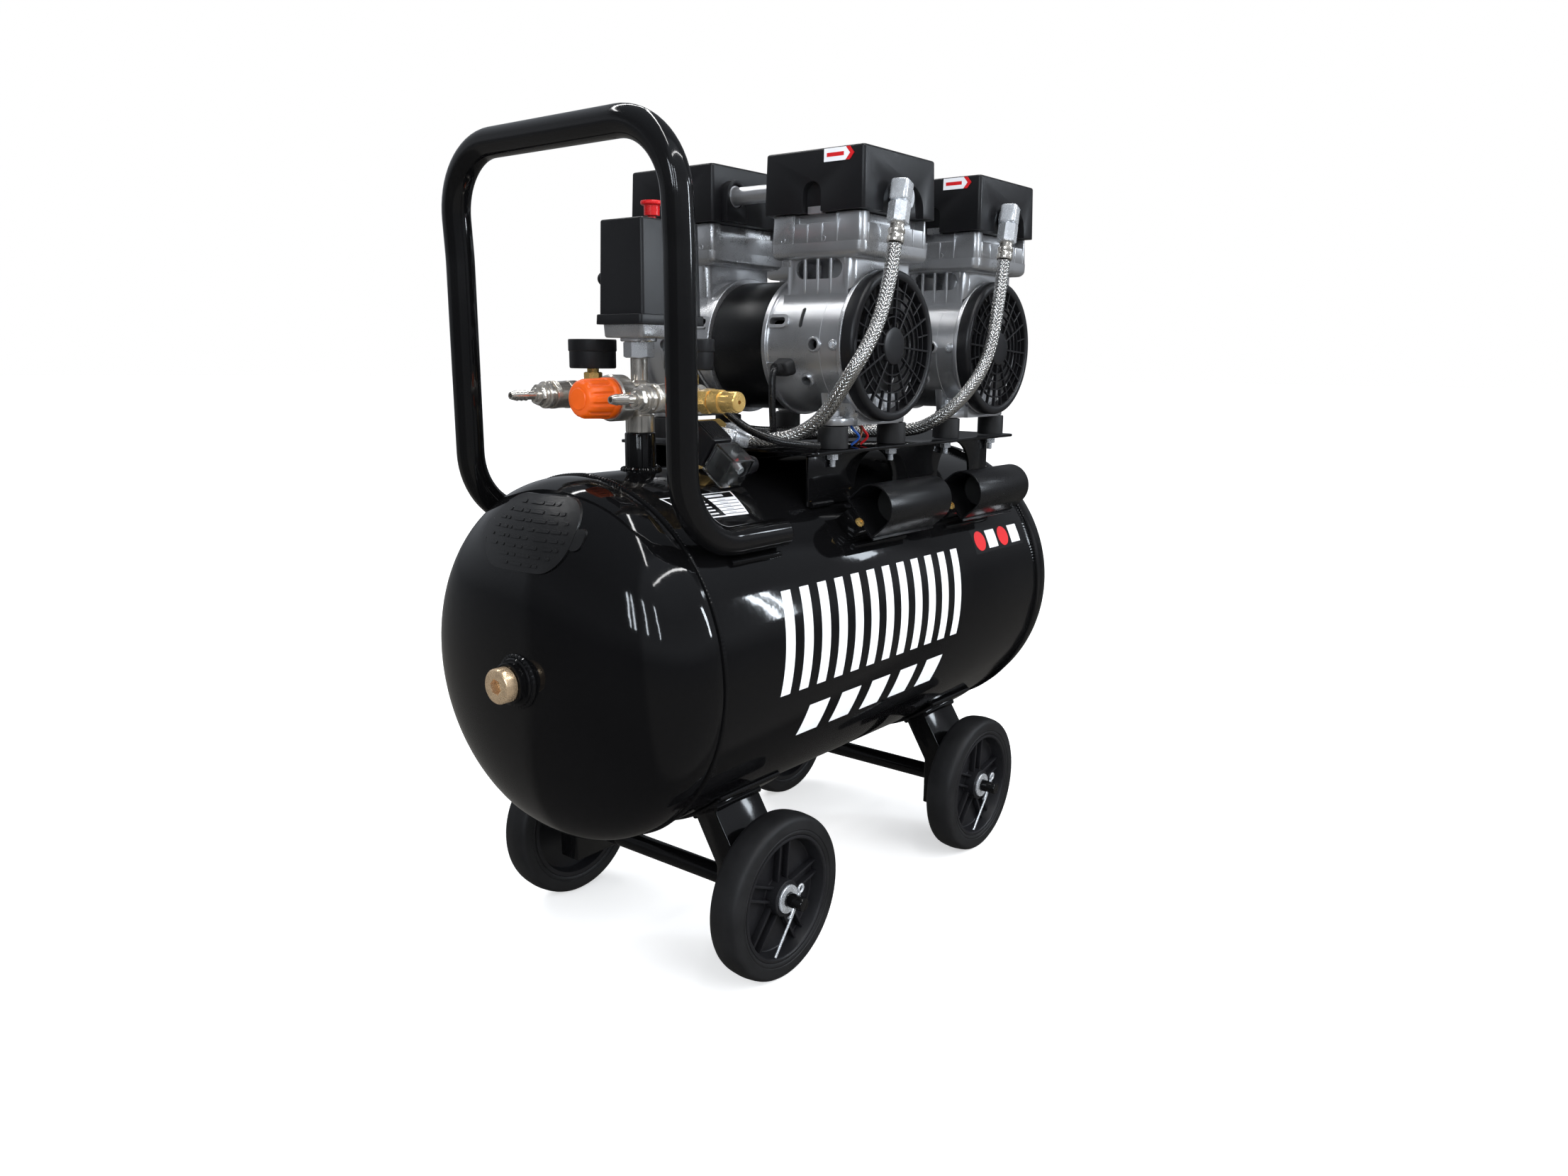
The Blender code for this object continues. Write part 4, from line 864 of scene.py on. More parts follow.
def make_legs(place_name, x):
    """Bent plate legs on curved pads, with an axle bar welded through them."""
    parts = []
    for side in (-1, 1):
        leg = prism(f"leg_{place_name}", "X", leg_outline(side), x - 0.030, x + 0.030)
        cut(leg, rod("belly", "X", TANK_AXIS, TANK_R + 0.0016, x - 0.08, x + 0.08, 160, 0.01))
        bevel(leg, 0.0036, 3)
        mid = 270 + side * LEG_TURN
        pad = prism("pad", "X", arc(TANK_AXIS, TANK_R + 0.0039, mid - 12, mid + 12, 24)
                    + arc(TANK_AXIS, TANK_R + 0.0004, mid + 12, mid - 12, 24), x - 0.042, x + 0.042)
        bevel(pad, 0.0012)
        parts += [leg, pad]
    parts.append(rod("bar", "Y", (x, WHEEL_R), 0.009, -LEG_Y, LEG_Y, 40))
    for side in (-1, 1):
        parts.append(spindle("stub", "Y", (x, WHEEL_R), [
            (0.0062, side * (LEG_Y - 0.005)), (0.0062, side * 0.1655), (0.0057, side * 0.1664),
            (0.0050, side * 0.1667)], 36))
        parts.append(rod("shoulder", "Y", (x, WHEEL_R), 0.0085, side * 0.100, side * 0.1190, 40))
    place(gather(f"undercarriage_{place_name}_frame", *parts), "powder", node=f"undercarriage_{place_name}")
    make_leg_welds(place_name, x)


def make_leg_welds(place_name, x):
    """Beads along the edges of the pads, and along the legs where they meet the pads."""
    beads = []
    for side in (-1, 1):
        mid = 270 + side * LEG_TURN
        for turn in (-12.3, 12.3):
            y, z = on_tank(mid + turn, 0.0016)
            beads.append(straight_bead(x - 0.040, x + 0.040, y, z, 0.0026, turn + side))
        for edge in (-1, 1):
            y, z = on_tank(mid + degrees(edge * 0.086), 0.0050)
            beads.append(straight_bead(x - 0.030, x + 0.030, y, z, 0.0028, side * 3 + edge))
    place(gather(f"undercarriage_{place_name}_welds", *beads), "powder")


def make_tyre(name, body, x, side):
    """Solid rubber tyre: crowned tread, rounded shoulders and a bead line on its wall."""
    out, inn = WHEEL_FACE, WHEEL_BACK
    wall = [(TYRE_BORE, inn + 0.0012), (TYRE_BORE + 0.0010, inn + 0.0004), (0.0600, inn + 0.0002),
            (0.0606, inn + 0.0006), (0.0614, inn + 0.0006), (0.0620, inn), (0.0690, inn),
            (0.0707, inn + 0.0004), (0.0722, inn + 0.0014), (0.0732, inn + 0.0028), (0.0739, inn + 0.0048),
            (0.0744, inn + 0.0075)]
    crown = [(WHEEL_R, inn + 0.0135), (WHEEL_R, out - 0.0135)]
    section = wall + crown + [(r, out - (y - inn)) for r, y in reversed(wall)]
    tyre = lathe(f"tyre_{name}_ring", "Y", (x, WHEEL_R), [(r, side * y) for r, y in section], 128)
    place(tyre, "tyre", body, node=f"tyre_{name}", sharp=38)


def make_hub(name, body, x, side):
    """Moulded wheel centre with five pairs of ribs, a long boss and a rolled rim."""
    out, inn = WHEEL_FACE, WHEEL_BACK
    rim = TYRE_BORE - 0.0003
    section = [
        (0.0064, inn + 0.0008), (0.0150, inn + 0.0008), (0.0158, inn + 0.0120), (0.0508, inn + 0.0120),
        (0.0520, inn + 0.0030), (0.0528, inn + 0.0014), (rim, inn + 0.0014), (rim, out - 0.0010),
        (0.0556, out - 0.0006), (0.0545, out - 0.0006), (0.0536, out - 0.0012), (0.0530, out - 0.0024),
        (0.0508, out - 0.0138), (0.0500, out - 0.0144), (0.0176, out - 0.0144), (0.0166, out - 0.0138),
        (0.0162, out - 0.0026), (0.0156, out - 0.0020), (0.0100, out - 0.0020), (0.0094, out - 0.0026),
        (0.0064, out - 0.0026),
    ]
    parts = [lathe("hub", "Y", (x, WHEEL_R), [(r, side * y) for r, y in section], 96)]
    for k in range(5):
        for offset in (-0.0062, 0.0062):
            rib = prism("rib", "Y", rectangle(0.0138, 0.0516, offset - 0.0013, offset + 0.0013),
                        side * (out - 0.0150), side * (out - 0.0082))
            turned(rib, "Y", -84 - 72 * k)
            parts.append(bevel(moved(rib, (x, 0, WHEEL_R)), 0.0005))
    place(gather(f"hub_{name}_moulding", *parts), "hub", body, node=f"hub_{name}", sharp=30)


def make_axle_end(name, x, side):
    """Plate washer and split pin on the end of a stub axle."""
    face = side * (WHEEL_FACE - 0.0018)
    washer = lathe(f"axle_washer_{name}", "Y", (x, WHEEL_R),
                   [(0.0066, face), (0.0126, face), (0.0128, face + side * 0.0004),
                    (0.0128, face + side * 0.0016), (0.0125, face + side * 0.0020),
                    (0.0066, face + side * 0.0020)], 64)
    place(washer, "zinc")
    y = side * 0.1575
    eye = [(0.0030 * a, 0.0122 + 0.0034 * b) for a, b in arc((0, 0), 1, -70, 250, 24)]
    line = ([(0.0010, -0.0500), (0.0008, -0.0300), (0.0007, -0.0100), (0.0006, 0.0060)] + eye
            + [(-0.0006, 0.0060), (-0.0007, -0.0100), (-0.0010, -0.0135), (-0.0032, -0.0150)])
    lean = radians(30)
    track = [Vector((x + a * cos(lean) + b * sin(lean), y - side * 0.09 * max(0.0, -b - 0.008),
                     WHEEL_R - a * sin(lean) + b * cos(lean))) for a, b in line]
    place(sweep(f"split_pin_{name}", smooth(track, 0.0009), 0.00120, 12), "zinc")


def make_running_gear():
    for place_name, x in WHEEL_XS.items():
        make_legs(place_name, x)
        for side, letter in ((-1, "right"), (1, "left")):
            name = f"{place_name}_{letter}"
            body = f"wheel_{name}"
            make_tyre(name, body, x, side)
            make_hub(name, body, x, side)
            make_axle_end(name, x, side)


# ---------------------------------------------------------------- base plate and feet

def make_bed():
    """Folded bed plate: a flat top with rounded corners on two upright webs with arched cut-outs."""
    parts = []
    top = prism("bed_top", "Z", rounded_rectangle((0.0745, 0.0), (0.1875, 0.122), 0.006, 5), *PLATE_Z)
    parts.append(bevel(top, 0.0007))
    low = TANK_Z + sqrt((TANK_R + 0.0004) ** 2 - (WEB_Y - 0.0015) ** 2)
    for side in (-1, 1):
        arches = []
        for centre in (0.165, 0.012):
            arches += [(centre + 0.036, low)]
            arches += arc((centre, 0.420), 0.034, 0, 180, 28)
            arches += [(centre - 0.036, low)]
        high = PLATE_Z[0] + 0.001
        outline = [(-0.095, low), (-0.095, high), (0.238, high), (0.238, low)] + arches
        web = prism("web", "Y", outline, side * (WEB_Y - 0.0015), side * (WEB_Y + 0.0015))
        parts.append(bevel(web, 0.0006))
    place(gather("bed_plate", *parts), "powder", node="mount_plate")
    beads = []
    for side in (-1, 1):
        for x0, x1 in ((-0.092, -0.060), (0.060, 0.110), (0.205, 0.236)):
            beads.append(straight_bead(x0, x1, side * (WEB_Y + 0.0025), low + 0.0012, 0.0028, x0 * 90))
    place(gather("bed_plate_welds", *beads), "enamel")


def nut_at(x, y, z, turn):
    return hexagon("nut", "Z", (x, y), 0.0058, z, z + 0.0052, turn)


def washer_at(x, y, z):
    return lathe("washer", "Z", (x, y), [
        (0.0034, z), (0.0085, z), (0.0087, z + 0.00036), (0.0087, z + 0.00096), (0.0083, z + 0.0012),
        (0.0034, z + 0.0012)], 40)


def stud(x, y, low, high):
    """Threaded stud: rings of thread at M6 pitch, chamfered at both ends."""
    profile = [(0.0022, low)]
    for z in spaced(low + 0.0005, 0.001, int((high - low - 0.001) / 0.001)):
        profile += [(0.0029, z + 0.0002), (0.0025, z + 0.0007)]
    return spindle("stud", "Z", (x, y), profile + [(0.0022, high)], 24)


def make_feet():
    """Rubber feet with a stud, washer and nut below the bed plate and on the casting's ear."""
    for unit, x0 in UNIT_XS.items():
        for end, sy in (("front", -1), ("rear", 1)):
            for letter, sx in (("a", -1), ("b", 1)):
                x, y = x0 + sx * FOOT_DX, sy * FOOT_Y
                low, high = FOOT_Z
                name = f"foot_{unit}_{end}_{letter}"
                body = lathe(f"rubber_{name}", "Z", (x, y),
                             [(0, low), (0.0134, low), (0.0139, low + 0.0004), (0.0140, low + 0.0012),
                              (0.0141, (low + high) / 2), (0.0140, high - 0.0012), (0.0139, high - 0.0004),
                              (0.0134, high), (0, high)], 56)
                place(body, "rubber", node=f"rubber_foot_{unit}_{end}_{letter}")
                bolts = [stud(x, y, 0.4425, 0.4560), washer_at(x, y, 0.4547), nut_at(x, y, 0.4492, x * 40),
                         stud(x, y, 0.4870, 0.4985), washer_at(x, y, 0.4872), nut_at(x, y, 0.4885, x * 60)]
                place(gather(f"bolts_{name}", *bolts), "zinc", sharp=25)


# ---------------------------------------------------------------- motor-pump units

def drum_section():
    """Crankcase ring: (radius, distance from the middle of the unit), both cavities open."""
    return [
        (0.0075, 0.0960), (0.0560, 0.0960), (0.0565, 0.0950), (0.0565, 0.0332), (0.0570, 0.0328),
        (0.0644, 0.0328), (0.0650, 0.0334), (0.0650, 0.0372), (0.0645, 0.0378), (0.0626, 0.0380),
        (0.0620, 0.0388), (0.0620, 0.0974), (0.0616, 0.0977), (0.0616, 0.0983), (0.0620, 0.0986),
        (0.0620, 0.1170), (0.0630, 0.1184), (0.0652, 0.1192), (0.0668, 0.1198), (0.0676, 0.1206),
        (0.0678, 0.1216), (0.0678, 0.1236), (0.0672, 0.1242), (0.0600, 0.1242), (0.0594, 0.1236),
        (0.0590, 0.1050), (0.0580, 0.1040), (0.0075, 0.1040),
    ]


def on_drum(item, angle, y, x=0, reach=DRUM_R):
    """Put a piece drawn about the Z axis on the drum's -X side, angle degrees above level."""
    turn = radians(angle)
    outward = Vector((-cos(turn), 0, sin(turn)))
    return aim(item, Vector((x, y, SHAFT_Z)) + outward * reach, outward)


def through(outline):
    """A cutter that goes through the drum's wall."""
    return prism("through", "Z", outline, -0.012, 0.012)


def raised_port():
    """A turned boss with a through hole: (boss, cutter)."""
    boss = spindle("boss", "Z", (0, 0), [(0.0072, -0.006), (0.0069, 0.0015), (0.0062, 0.0022)], 40)
    return boss, rod("hole", "Z", (0, 0), 0.0048, -0.012, 0.012, 32)


def stadium(half_long, half_wide, steps=10):
    """A slot outline, long in its first coordinate."""
    reach = half_long - half_wide
    return arc((reach, 0), half_wide, -90, 90, steps) + arc((-reach, 0), half_wide, 90, 270, steps)


def make_crankcase():
    """Front crankcase of a unit at x = 0, with its ports, slots and cable gland seat."""
    drum = lathe("drum", "Y", (0, SHAFT_Z), [(r, -y) for r, y in drum_section()], 128)
    adds, holes = [], []
    for angle, y in ((0.5, -0.0920), (-30.0, -0.0790)):
        for turn in (angle, 180 - angle):
            boss, hole = raised_port()
            adds.append(on_drum(boss, turn, y))
            holes.append(on_drum(hole, turn, y))
    rim = prism("rim", "Z", stadium(0.0124, 0.0064), -0.006, 0.0020)
    adds.append(on_drum(turned(rim, "Z", 90), 20, -0.0484))
    holes.append(on_drum(turned(through(stadium(0.0090, 0.0034)), "Z", 90), 20, -0.0484))
    holes.append(on_drum(through(stadium(0.0095, 0.0020)), 23.5, -0.0745))
    tab = prism("tab", "Z", rounded_rectangle((0, 0), (0.0062, 0.0065), 0.0030), -0.006, 0.0018)
    adds.append(on_drum(tab, -20, -0.0440))
    for angle in (0, 180):
        lug = spindle("lug", "Z", (0, 0), [(0.0052, -0.006), (0.0050, 0.0006), (0.0040, 0.0012)], 32)
        adds.append(on_drum(lug, angle, -0.1130))
    combine(drum, "UNION", *adds)
    return cut(drum, gather("holes", *holes))


def neck_fillet(radius=0.020, steps=14):
    """Hollow corner between the drum and the side of its neck, as (x, z) points."""
    wall = 0.0484
    reach = DRUM_R + radius
    centre = (wall + radius, SHAFT_Z + sqrt(reach ** 2 - (wall + radius) ** 2))
    touch = degrees(atan((centre[1] - SHAFT_Z) / centre[0])) + 180
    curve = arc(centre, radius, 180, touch, steps)
    return [(0.0400, centre[1])] + curve + [(0.0400, curve[-1][1] - 0.004)]


def make_neck():
    """Cylinder neck with the vents in its sides, their round bars, and the liner inside."""
    centre = (0, -0.0852)
    neck = stack("neck", centre, [(0.5780, 0.0490, 0.0385, 0.0080), (0.5960, 0.0484, 0.0379, 0.0070),
                                  (0.6290, 0.0480, 0.0376, 0.0065)])
    hollow = stack("hollow", centre, [(z, 0.0440, 0.0335, 0.0050) for z in (0.5700, 0.6260)], 4)
    vent = prism("vent", "X", [(-0.0860 + a, 0.6183 + b) for a, b in stadium(0.0256, 0.0086)], -0.06, 0.06)
    swallow = rod("swallow", "Y", (0, SHAFT_Z), 0.0600, -0.1100, -0.0300, 96)
    face = rod("face", "Y", (0, SHAFT_Z), 0.0682, -0.1400, -0.1180, 96)
    cut(neck, hollow, vent, swallow, face)
    parts = [bevel(neck, 0.0006)]
    for side in (-1, 1):
        for y, foot in ((-0.0530, 0.6235), (-0.0705, 0.5985), (-0.0847, 0.5985), (-0.0990, 0.5985),
                        (-0.1137, 0.6235)):
            parts.append(lathe("fin", "Z", (side * 0.0474, y), [
                (0, foot - 0.004), (0.0014, foot - 0.001), (0.0018, foot + 0.003), (0.0018, 0.6284),
                (0, 0.6284)], 20))
        parts.append(prism("fillet", "Y", [(side * x, z) for x, z in neck_fillet()], -0.1176, -0.0470))
    parts.append(lathe("liner", "Z", centre, rectangle(0.0220, 0.0255, 0.5950, 0.6290), 48))
    for x in (-0.030, 0.0, 0.030):
        parts.append(box("rib", (x - 0.0012, x + 0.0012), (-0.1228, -0.1172), (0.6190, 0.6284)))
    return parts


def make_head():
    """Belly flange and head block, with notches along the top edge and fine ribs on the sides."""
    centre = (0, -HEAD_MID)
    belly = block("belly", centre, (0.6272, 0.6402), (0.0554, 0.0510), (0.0556, 0.0512), 0.0070,
                  0.0062, 0.0, 6, 8)
    head = block("head", centre, (0.6400, 0.6655), (0.0546, 0.0503), (0.0536, 0.0494), 0.0045,
                 0.0, 0.0008, 2, 6)
    notches = [box("notch", (side * 0.0475, side * 0.0700), (-0.1081, -0.0625), (0.6572, 0.6700))
               for side in (-1, 1)]
    notches += [box("notch", (-0.0417, 0.0480), ys, (0.6560, 0.6700))
                for ys in ((-0.1500, -0.1245), (-0.0440, -0.0200))]
    cut(head, gather("notches", *notches))
    parts = [belly, bevel(head, 0.0007)]
    for side in (-1, 1):
        for y, top in ((-0.0610, 0.6640), (-0.0770, 0.6568), (-0.0930, 0.6568), (-0.1096, 0.6640)):
            parts.append(bevel(box("rib", (side * 0.0520, side * 0.0554), (y - 0.0008, y + 0.0008),
                                   (0.6405, top)), 0.0004))
        for y in (-0.0500, -0.0950):
            parts.append(lathe("mark", "X", (y, 0.6435), [
                (0.0017, side * 0.0535), (0.0026, side * 0.0535), (0.0025, side * 0.0551),
                (0.0018, side * 0.0551)], 28))
        parts.append(box("lip", (side * 0.0480, side * 0.0540), (-0.0925, -0.0772), (0.6650, 0.6712)))
    for x in spaced(-0.0440, 0.0180, 6):
        rib = box("rib", (x - 0.0008, x + 0.0008), (-0.1366, -0.1330), (0.6405, 0.6558))
        parts.append(bevel(rib, 0.0004))
    return parts


def make_pedestal():
    """Foot of the casting: a saddle under the drum with a bolting ear over each rubber foot."""
    saddle = box("saddle", (-0.0345, 0.0345), (-0.1222, -0.0880), (0.4803, 0.5080))
    cut(saddle, rod("groove", "Y", (0, SHAFT_Z), 0.0688, -0.1400, -0.1190, 96))
    parts = [bevel(saddle, 0.0012)]
    for side in (-1, 1):
        ear = ([(side * 0.0300, -0.1180), (side * 0.0300, -0.0900)]
               + arc((side * FOOT_DX, -FOOT_Y), 0.0118, 90, 90 - side * 180, 12))
        parts.append(bevel(prism("ear", "Z", ear, 0.4803, 0.4872), 0.0008))
        cheek = [(side * 0.0345, 0.4803), (side * 0.0405, 0.4803), (side * 0.0470, 0.5200),
                 (side * 0.0345, 0.5200)]
        parts.append(bevel(prism("cheek", "Y", cheek, -0.0960, -0.0880), 0.0008))
    return parts


def make_casting():
    """The whole front casting at x = 0; the rear one is its mirror image."""
    return gather("casting", make_crankcase(), *make_neck(), *make_head(), *make_pedestal())


def make_cover_shell():
    """Square silencer cover with arched openings in its sides, at x = 0 in front."""
    hx, hy = COVER_HALF
    cover = block("cover", (0, -HEAD_MID), COVER_Z, (hx, hy), (hx - 0.0013, hy - 0.0013), 0.0034, 0.0,
                  0.0022, 4, 6)
    low = COVER_Z[0] - 0.001
    y, half = -0.0848, 0.0098
    arch = [(y - half, low), (y + half, low)] + arc((y, 0.6817), half, 0, 180, 20)
    tools = [prism("arch", "X", arch, side * (hx - 0.0075), side * (hx + 0.01)) for side in (-1, 1)]
    x, half, corner, top = 0.0044, 0.033, 0.0200, 0.6925
    mouth = ([(x - half, low), (x + half, low)]
             + arc((x + half - corner, top - corner), corner, 0, 90, 14)
             + arc((x - half + corner, top - corner), corner, 90, 180, 14))
    tools.append(prism("mouth", "Y", mouth, -(HEAD_MID + hy + 0.01), -(HEAD_MID + hy - 0.0062)))
    cut(cover, gather("arches", *tools))
    hood = prism("hood", "Y", arc(CROSSOVER, 0.0150, 0, 180, 24) + [(-0.047, 0.6670), (-0.017, 0.6670)],
                 -0.0330, -0.0235)
    cut(hood, rod("pipe", "Y", CROSSOVER, 0.0108, -0.0300, -0.0200, 48))
    return gather("cover_whole", bevel(cover, 0.0005, 2, 50), bevel(hood, 0.0006, 2, 50))


def make_guard_lattice():
    """Moulded fan guard at x = 0 in front: deep rim, spokes, four thin rings and a hub disc."""
    axis = (0, SHAFT_Z)
    face = FAN_FACE
    parts = [lathe("rim", "Y", axis, [
        (0.0594, -0.1246), (0.0672, -0.1246), (0.0680, -0.1254), (0.0680, face + 0.0036),
        (0.0672, face + 0.0014), (0.0660, face + 0.0004), (0.0646, face), (0.0618, face),
        (0.0602, face + 0.0006), (0.0594, face + 0.0016)], 128)]
    for radius in spaced(0.0262, 0.0080, 4):
        parts.append(lathe("ring", "Y", axis, [
            (radius - 0.0006, face + 0.0042), (radius + 0.0006, face + 0.0042),
            (radius + 0.0005, face + 0.0014), (radius - 0.0005, face + 0.0014)], 96))
    for k in range(24):
        start, half = ((0.0140, 0.0009), (0.0422, 0.0007))[k % 2]
        spoke = box("spoke", (-half, half), (face + 0.0010, face + 0.0044), (start, 0.0602))
        turned(bevel(spoke, 0.0003, 1), "Y", 15 * k + 4)
        parts.append(moved(spoke, (0, 0, SHAFT_Z)))
    parts.append(spindle("hub", "Y", axis, [
        (0.0168, face + 0.0042), (0.0170, face + 0.0014), (0.0164, face + 0.0004), (0.0150, face),
        (0.0100, face - 0.0004), (0, face - 0.0006)], 64))
    return gather("lattice", *parts)


def make_motor_shell(unit, x):
    """Painted motor shell, rounded at both ends."""
    shell = lathe(f"motor_shell_{unit}", "Y", (x, SHAFT_Z),
                  [(0.0125, -0.0326), (0.0590, -0.0326), (0.0600, -0.0322), (0.0606, -0.0300),
                   (0.0606, 0.0300), (0.0600, 0.0322), (0.0590, 0.0326), (0.0125, 0.0326)], 128)
    place(shell, "motor", node=f"stator_{unit}")


def make_unit_fronts():
    """Castings, covers and guards: drawn once in front, then mirrored and copied to both units."""
    masters = (
        (make_casting(), "casting", "cast", "pump", 28),
        (make_cover_shell(), "head_cover", "moulded", "cover", 30),
        (make_guard_lattice(), "fan_guard", "guard", "guard", 35),
    )
    for master, label, look, node, sharp in masters:
        for unit, x in UNIT_XS.items():
            for end, matrix in (("front", Matrix.Identity(4)), ("rear", MIRROR_Y)):
                matrix_there = Matrix.Translation((x, 0, 0)) @ matrix
                piece = copy_of(master, f"{label}_{end}_{unit}", matrix_there)
                place(piece, look, node=f"{node}_{end}_{unit}", sharp=sharp)
        bpy.data.objects.remove(master, do_unlink=True)


def make_unit_trim(unit, x):
    """Screws and cable gland of one unit."""
    profile = [(0, 0), (0.0032, 0), (0.0032, 0.0008), (0.0026, 0.0017), (0, 0.0020)]
    for end, side in (("front", -1), ("rear", 1)):
        screws = [on_drum(cross_screw(profile, 24, 0.0018, 0.0004, 0.0012, 0.0030), angle, side * 0.1130, x,
                          DRUM_R + 0.0010) for angle in (0, 180)]
        place(gather(f"drum_screws_{end}_{unit}", *screws), "zinc")
    grommet = block("grommet", (0, 0), (-0.004, 0.0098), (0.0112, 0.0080), (0.0094, 0.0066), 0.0050, 0.0,
                    0.0028, 4, 6)
    gland = [on_drum(turned(grommet, "Z", 90), -18, -0.0580, x),
             rod("sleeve", "X", (-0.0576, 0.5302), 0.0050, x - 0.0755, x - 0.0620, 28)]
    place(gather(f"cable_gland_{unit}", *gland), "rubber")


def make_arrow_tag(unit, x):
    """White tag with a red arrow head and a red bar, on the -X face of the front cover."""
    face = x - COVER_HALF[0] + 0.00095
    low, mid, top = 0.7063, 0.7117, 0.7172
    body = [(-0.0975, low), (-0.1235, low), (-0.1280, mid), (-0.1235, top), (-0.0975, top)]
    head = [(-0.1205, low), (-0.1245, low), (-0.1290, mid), (-0.1245, top), (-0.1205, top), (-0.1250, mid)]
    bar = rectangle(-0.1185, -0.1005, 0.7101, 0.7134)
    lean = degrees(atan(0.0013 / (COVER_Z[1] - COVER_Z[0])))
    layers = (("tag", body, 0.00040, "white"), ("tag_arrow", head, 0.00055, "label_red"),
              ("tag_line", bar, 0.00050, "label_red"))
    for label, outline, proud, look in layers:
        item = prism(f"{label}_{unit}", "X", outline, face - proud, face + 0.0006)
        place(turned(item, "Y", lean, (face, 0, mid)), look)


def make_crossover(unit, x):
    """Pipe between the two covers of a unit, stepped where it enters them."""
    end = HEAD_MID - COVER_HALF[1] - 0.0004
    half = [(0.0100, end), (0.0104, end - 0.0006), (0.0104, end - 0.0046), (0.0098, end - 0.0054),
            (0.0086, end - 0.0058), (0.0082, end - 0.0064), (0.0080, end - 0.0080)]
    profile = [(r, -y) for r, y in half] + half[::-1]
    pipe = spindle(f"crossover_pipe_{unit}", "Y", (x + CROSSOVER[0], CROSSOVER[1]), profile, 48)
    place(pipe, "cast", node=f"crossover_{unit}")


def make_hose_fitting(unit, x):
    """Forged zinc elbow with its collar, union nut and crimped ferrule."""
    face = -(HEAD_MID + COVER_HALF[1] - 0.006) - 0.0004
    root = Vector((x + 0.001, face, 0.6805))
    bend = Vector((x - 0.0175, -0.1515, 0.6840))
    end = Vector((x - 0.0275, -0.1525, 0.6390))
    down = (end - bend).normalized()
    arm = rounded_path([(root, 0), (root + Vector((0, -0.006, 0)), 0), (bend, 0.008),
                        (bend.lerp(end, 0.25), 0)])
    elbow = block("elbow", (0, 0), (-0.0092, 0.0094), (0.0086, 0.0082), (0.0086, 0.0082), 0.0030, 0.0022,
                  0.0022, 3, 4)
    shoulder = spindle("shoulder", "Z", (0, 0), [(0.0078, 0), (0.0072, 0.0030)], 36)
    nut = hexagon("union", "Z", (0, 0), 0.0100, 0.0, 0.0175)
    parts = [hexagon("collar", "Y", (root.x - 0.0010, root.z), 0.0122, face - 0.0125, face, 0.35),
             sweep("arm", arm, 0.0068, 28),
             aim(elbow, bend + down * 0.0010, down),
             aim(shoulder, bend + down * 0.0090, down),
             aim(nut, bend.lerp(end, 0.24), down)]
    place(gather(f"elbow_{unit}", *parts), "zinc", node=f"hose_fitting_{unit}", sharp=28)
    start = bend.lerp(end, 0.62)
    tail = (end - start).length
    ferrule = spindle(f"ferrule_{unit}", "Z", (0, 0), [
        (0.0060, 0), (0.0064, 0.0010), (0.0064, tail * 0.30), (0.0077, tail * 0.34), (0.0078, tail * 0.50),
        (0.0072, tail * 0.56), (0.0072, tail * 0.66), (0.0078, tail * 0.72), (0.0078, tail * 0.92),
        (0.0074, tail)], 48)
    place(aim(ferrule, start, down), "nickel")


def make_fan_recess_shades(unit, x):
    """Painted shade behind the fans: thin near-black rings on the casting's inner walls, where the recess is
    in shade.
    """
    for end, side in (("front", -1), ("rear", 1)):
        ring = lathe(f"fan_recess_shade_{end}_{unit}", "Y", (x, SHAFT_Z),
                     rectangle(0.0090, 0.0578, side * 0.1042, side * 0.1050), 64)
        # painted shade: the near-black ring darkens the casting's wall in the recess behind the fan
        place(ring, "dark")


def finish_rotor(unit):
    """The rotor keeps the frame's own mesh, with a worked dark finish."""
    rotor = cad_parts[f"rotor_{unit}"]
    rotor.data.materials.clear()
    rotor.data.materials.append(LOOK["guard"])


def make_units():
    make_unit_fronts()
    for unit, x in UNIT_XS.items():
        make_motor_shell(unit, x)
        make_fan_recess_shades(unit, x)
        make_unit_trim(unit, x)
        make_arrow_tag(unit, x)
        make_crossover(unit, x)
        make_hose_fitting(unit, x)
        finish_rotor(unit)


# ---------------------------------------------------------------- controls on the riser

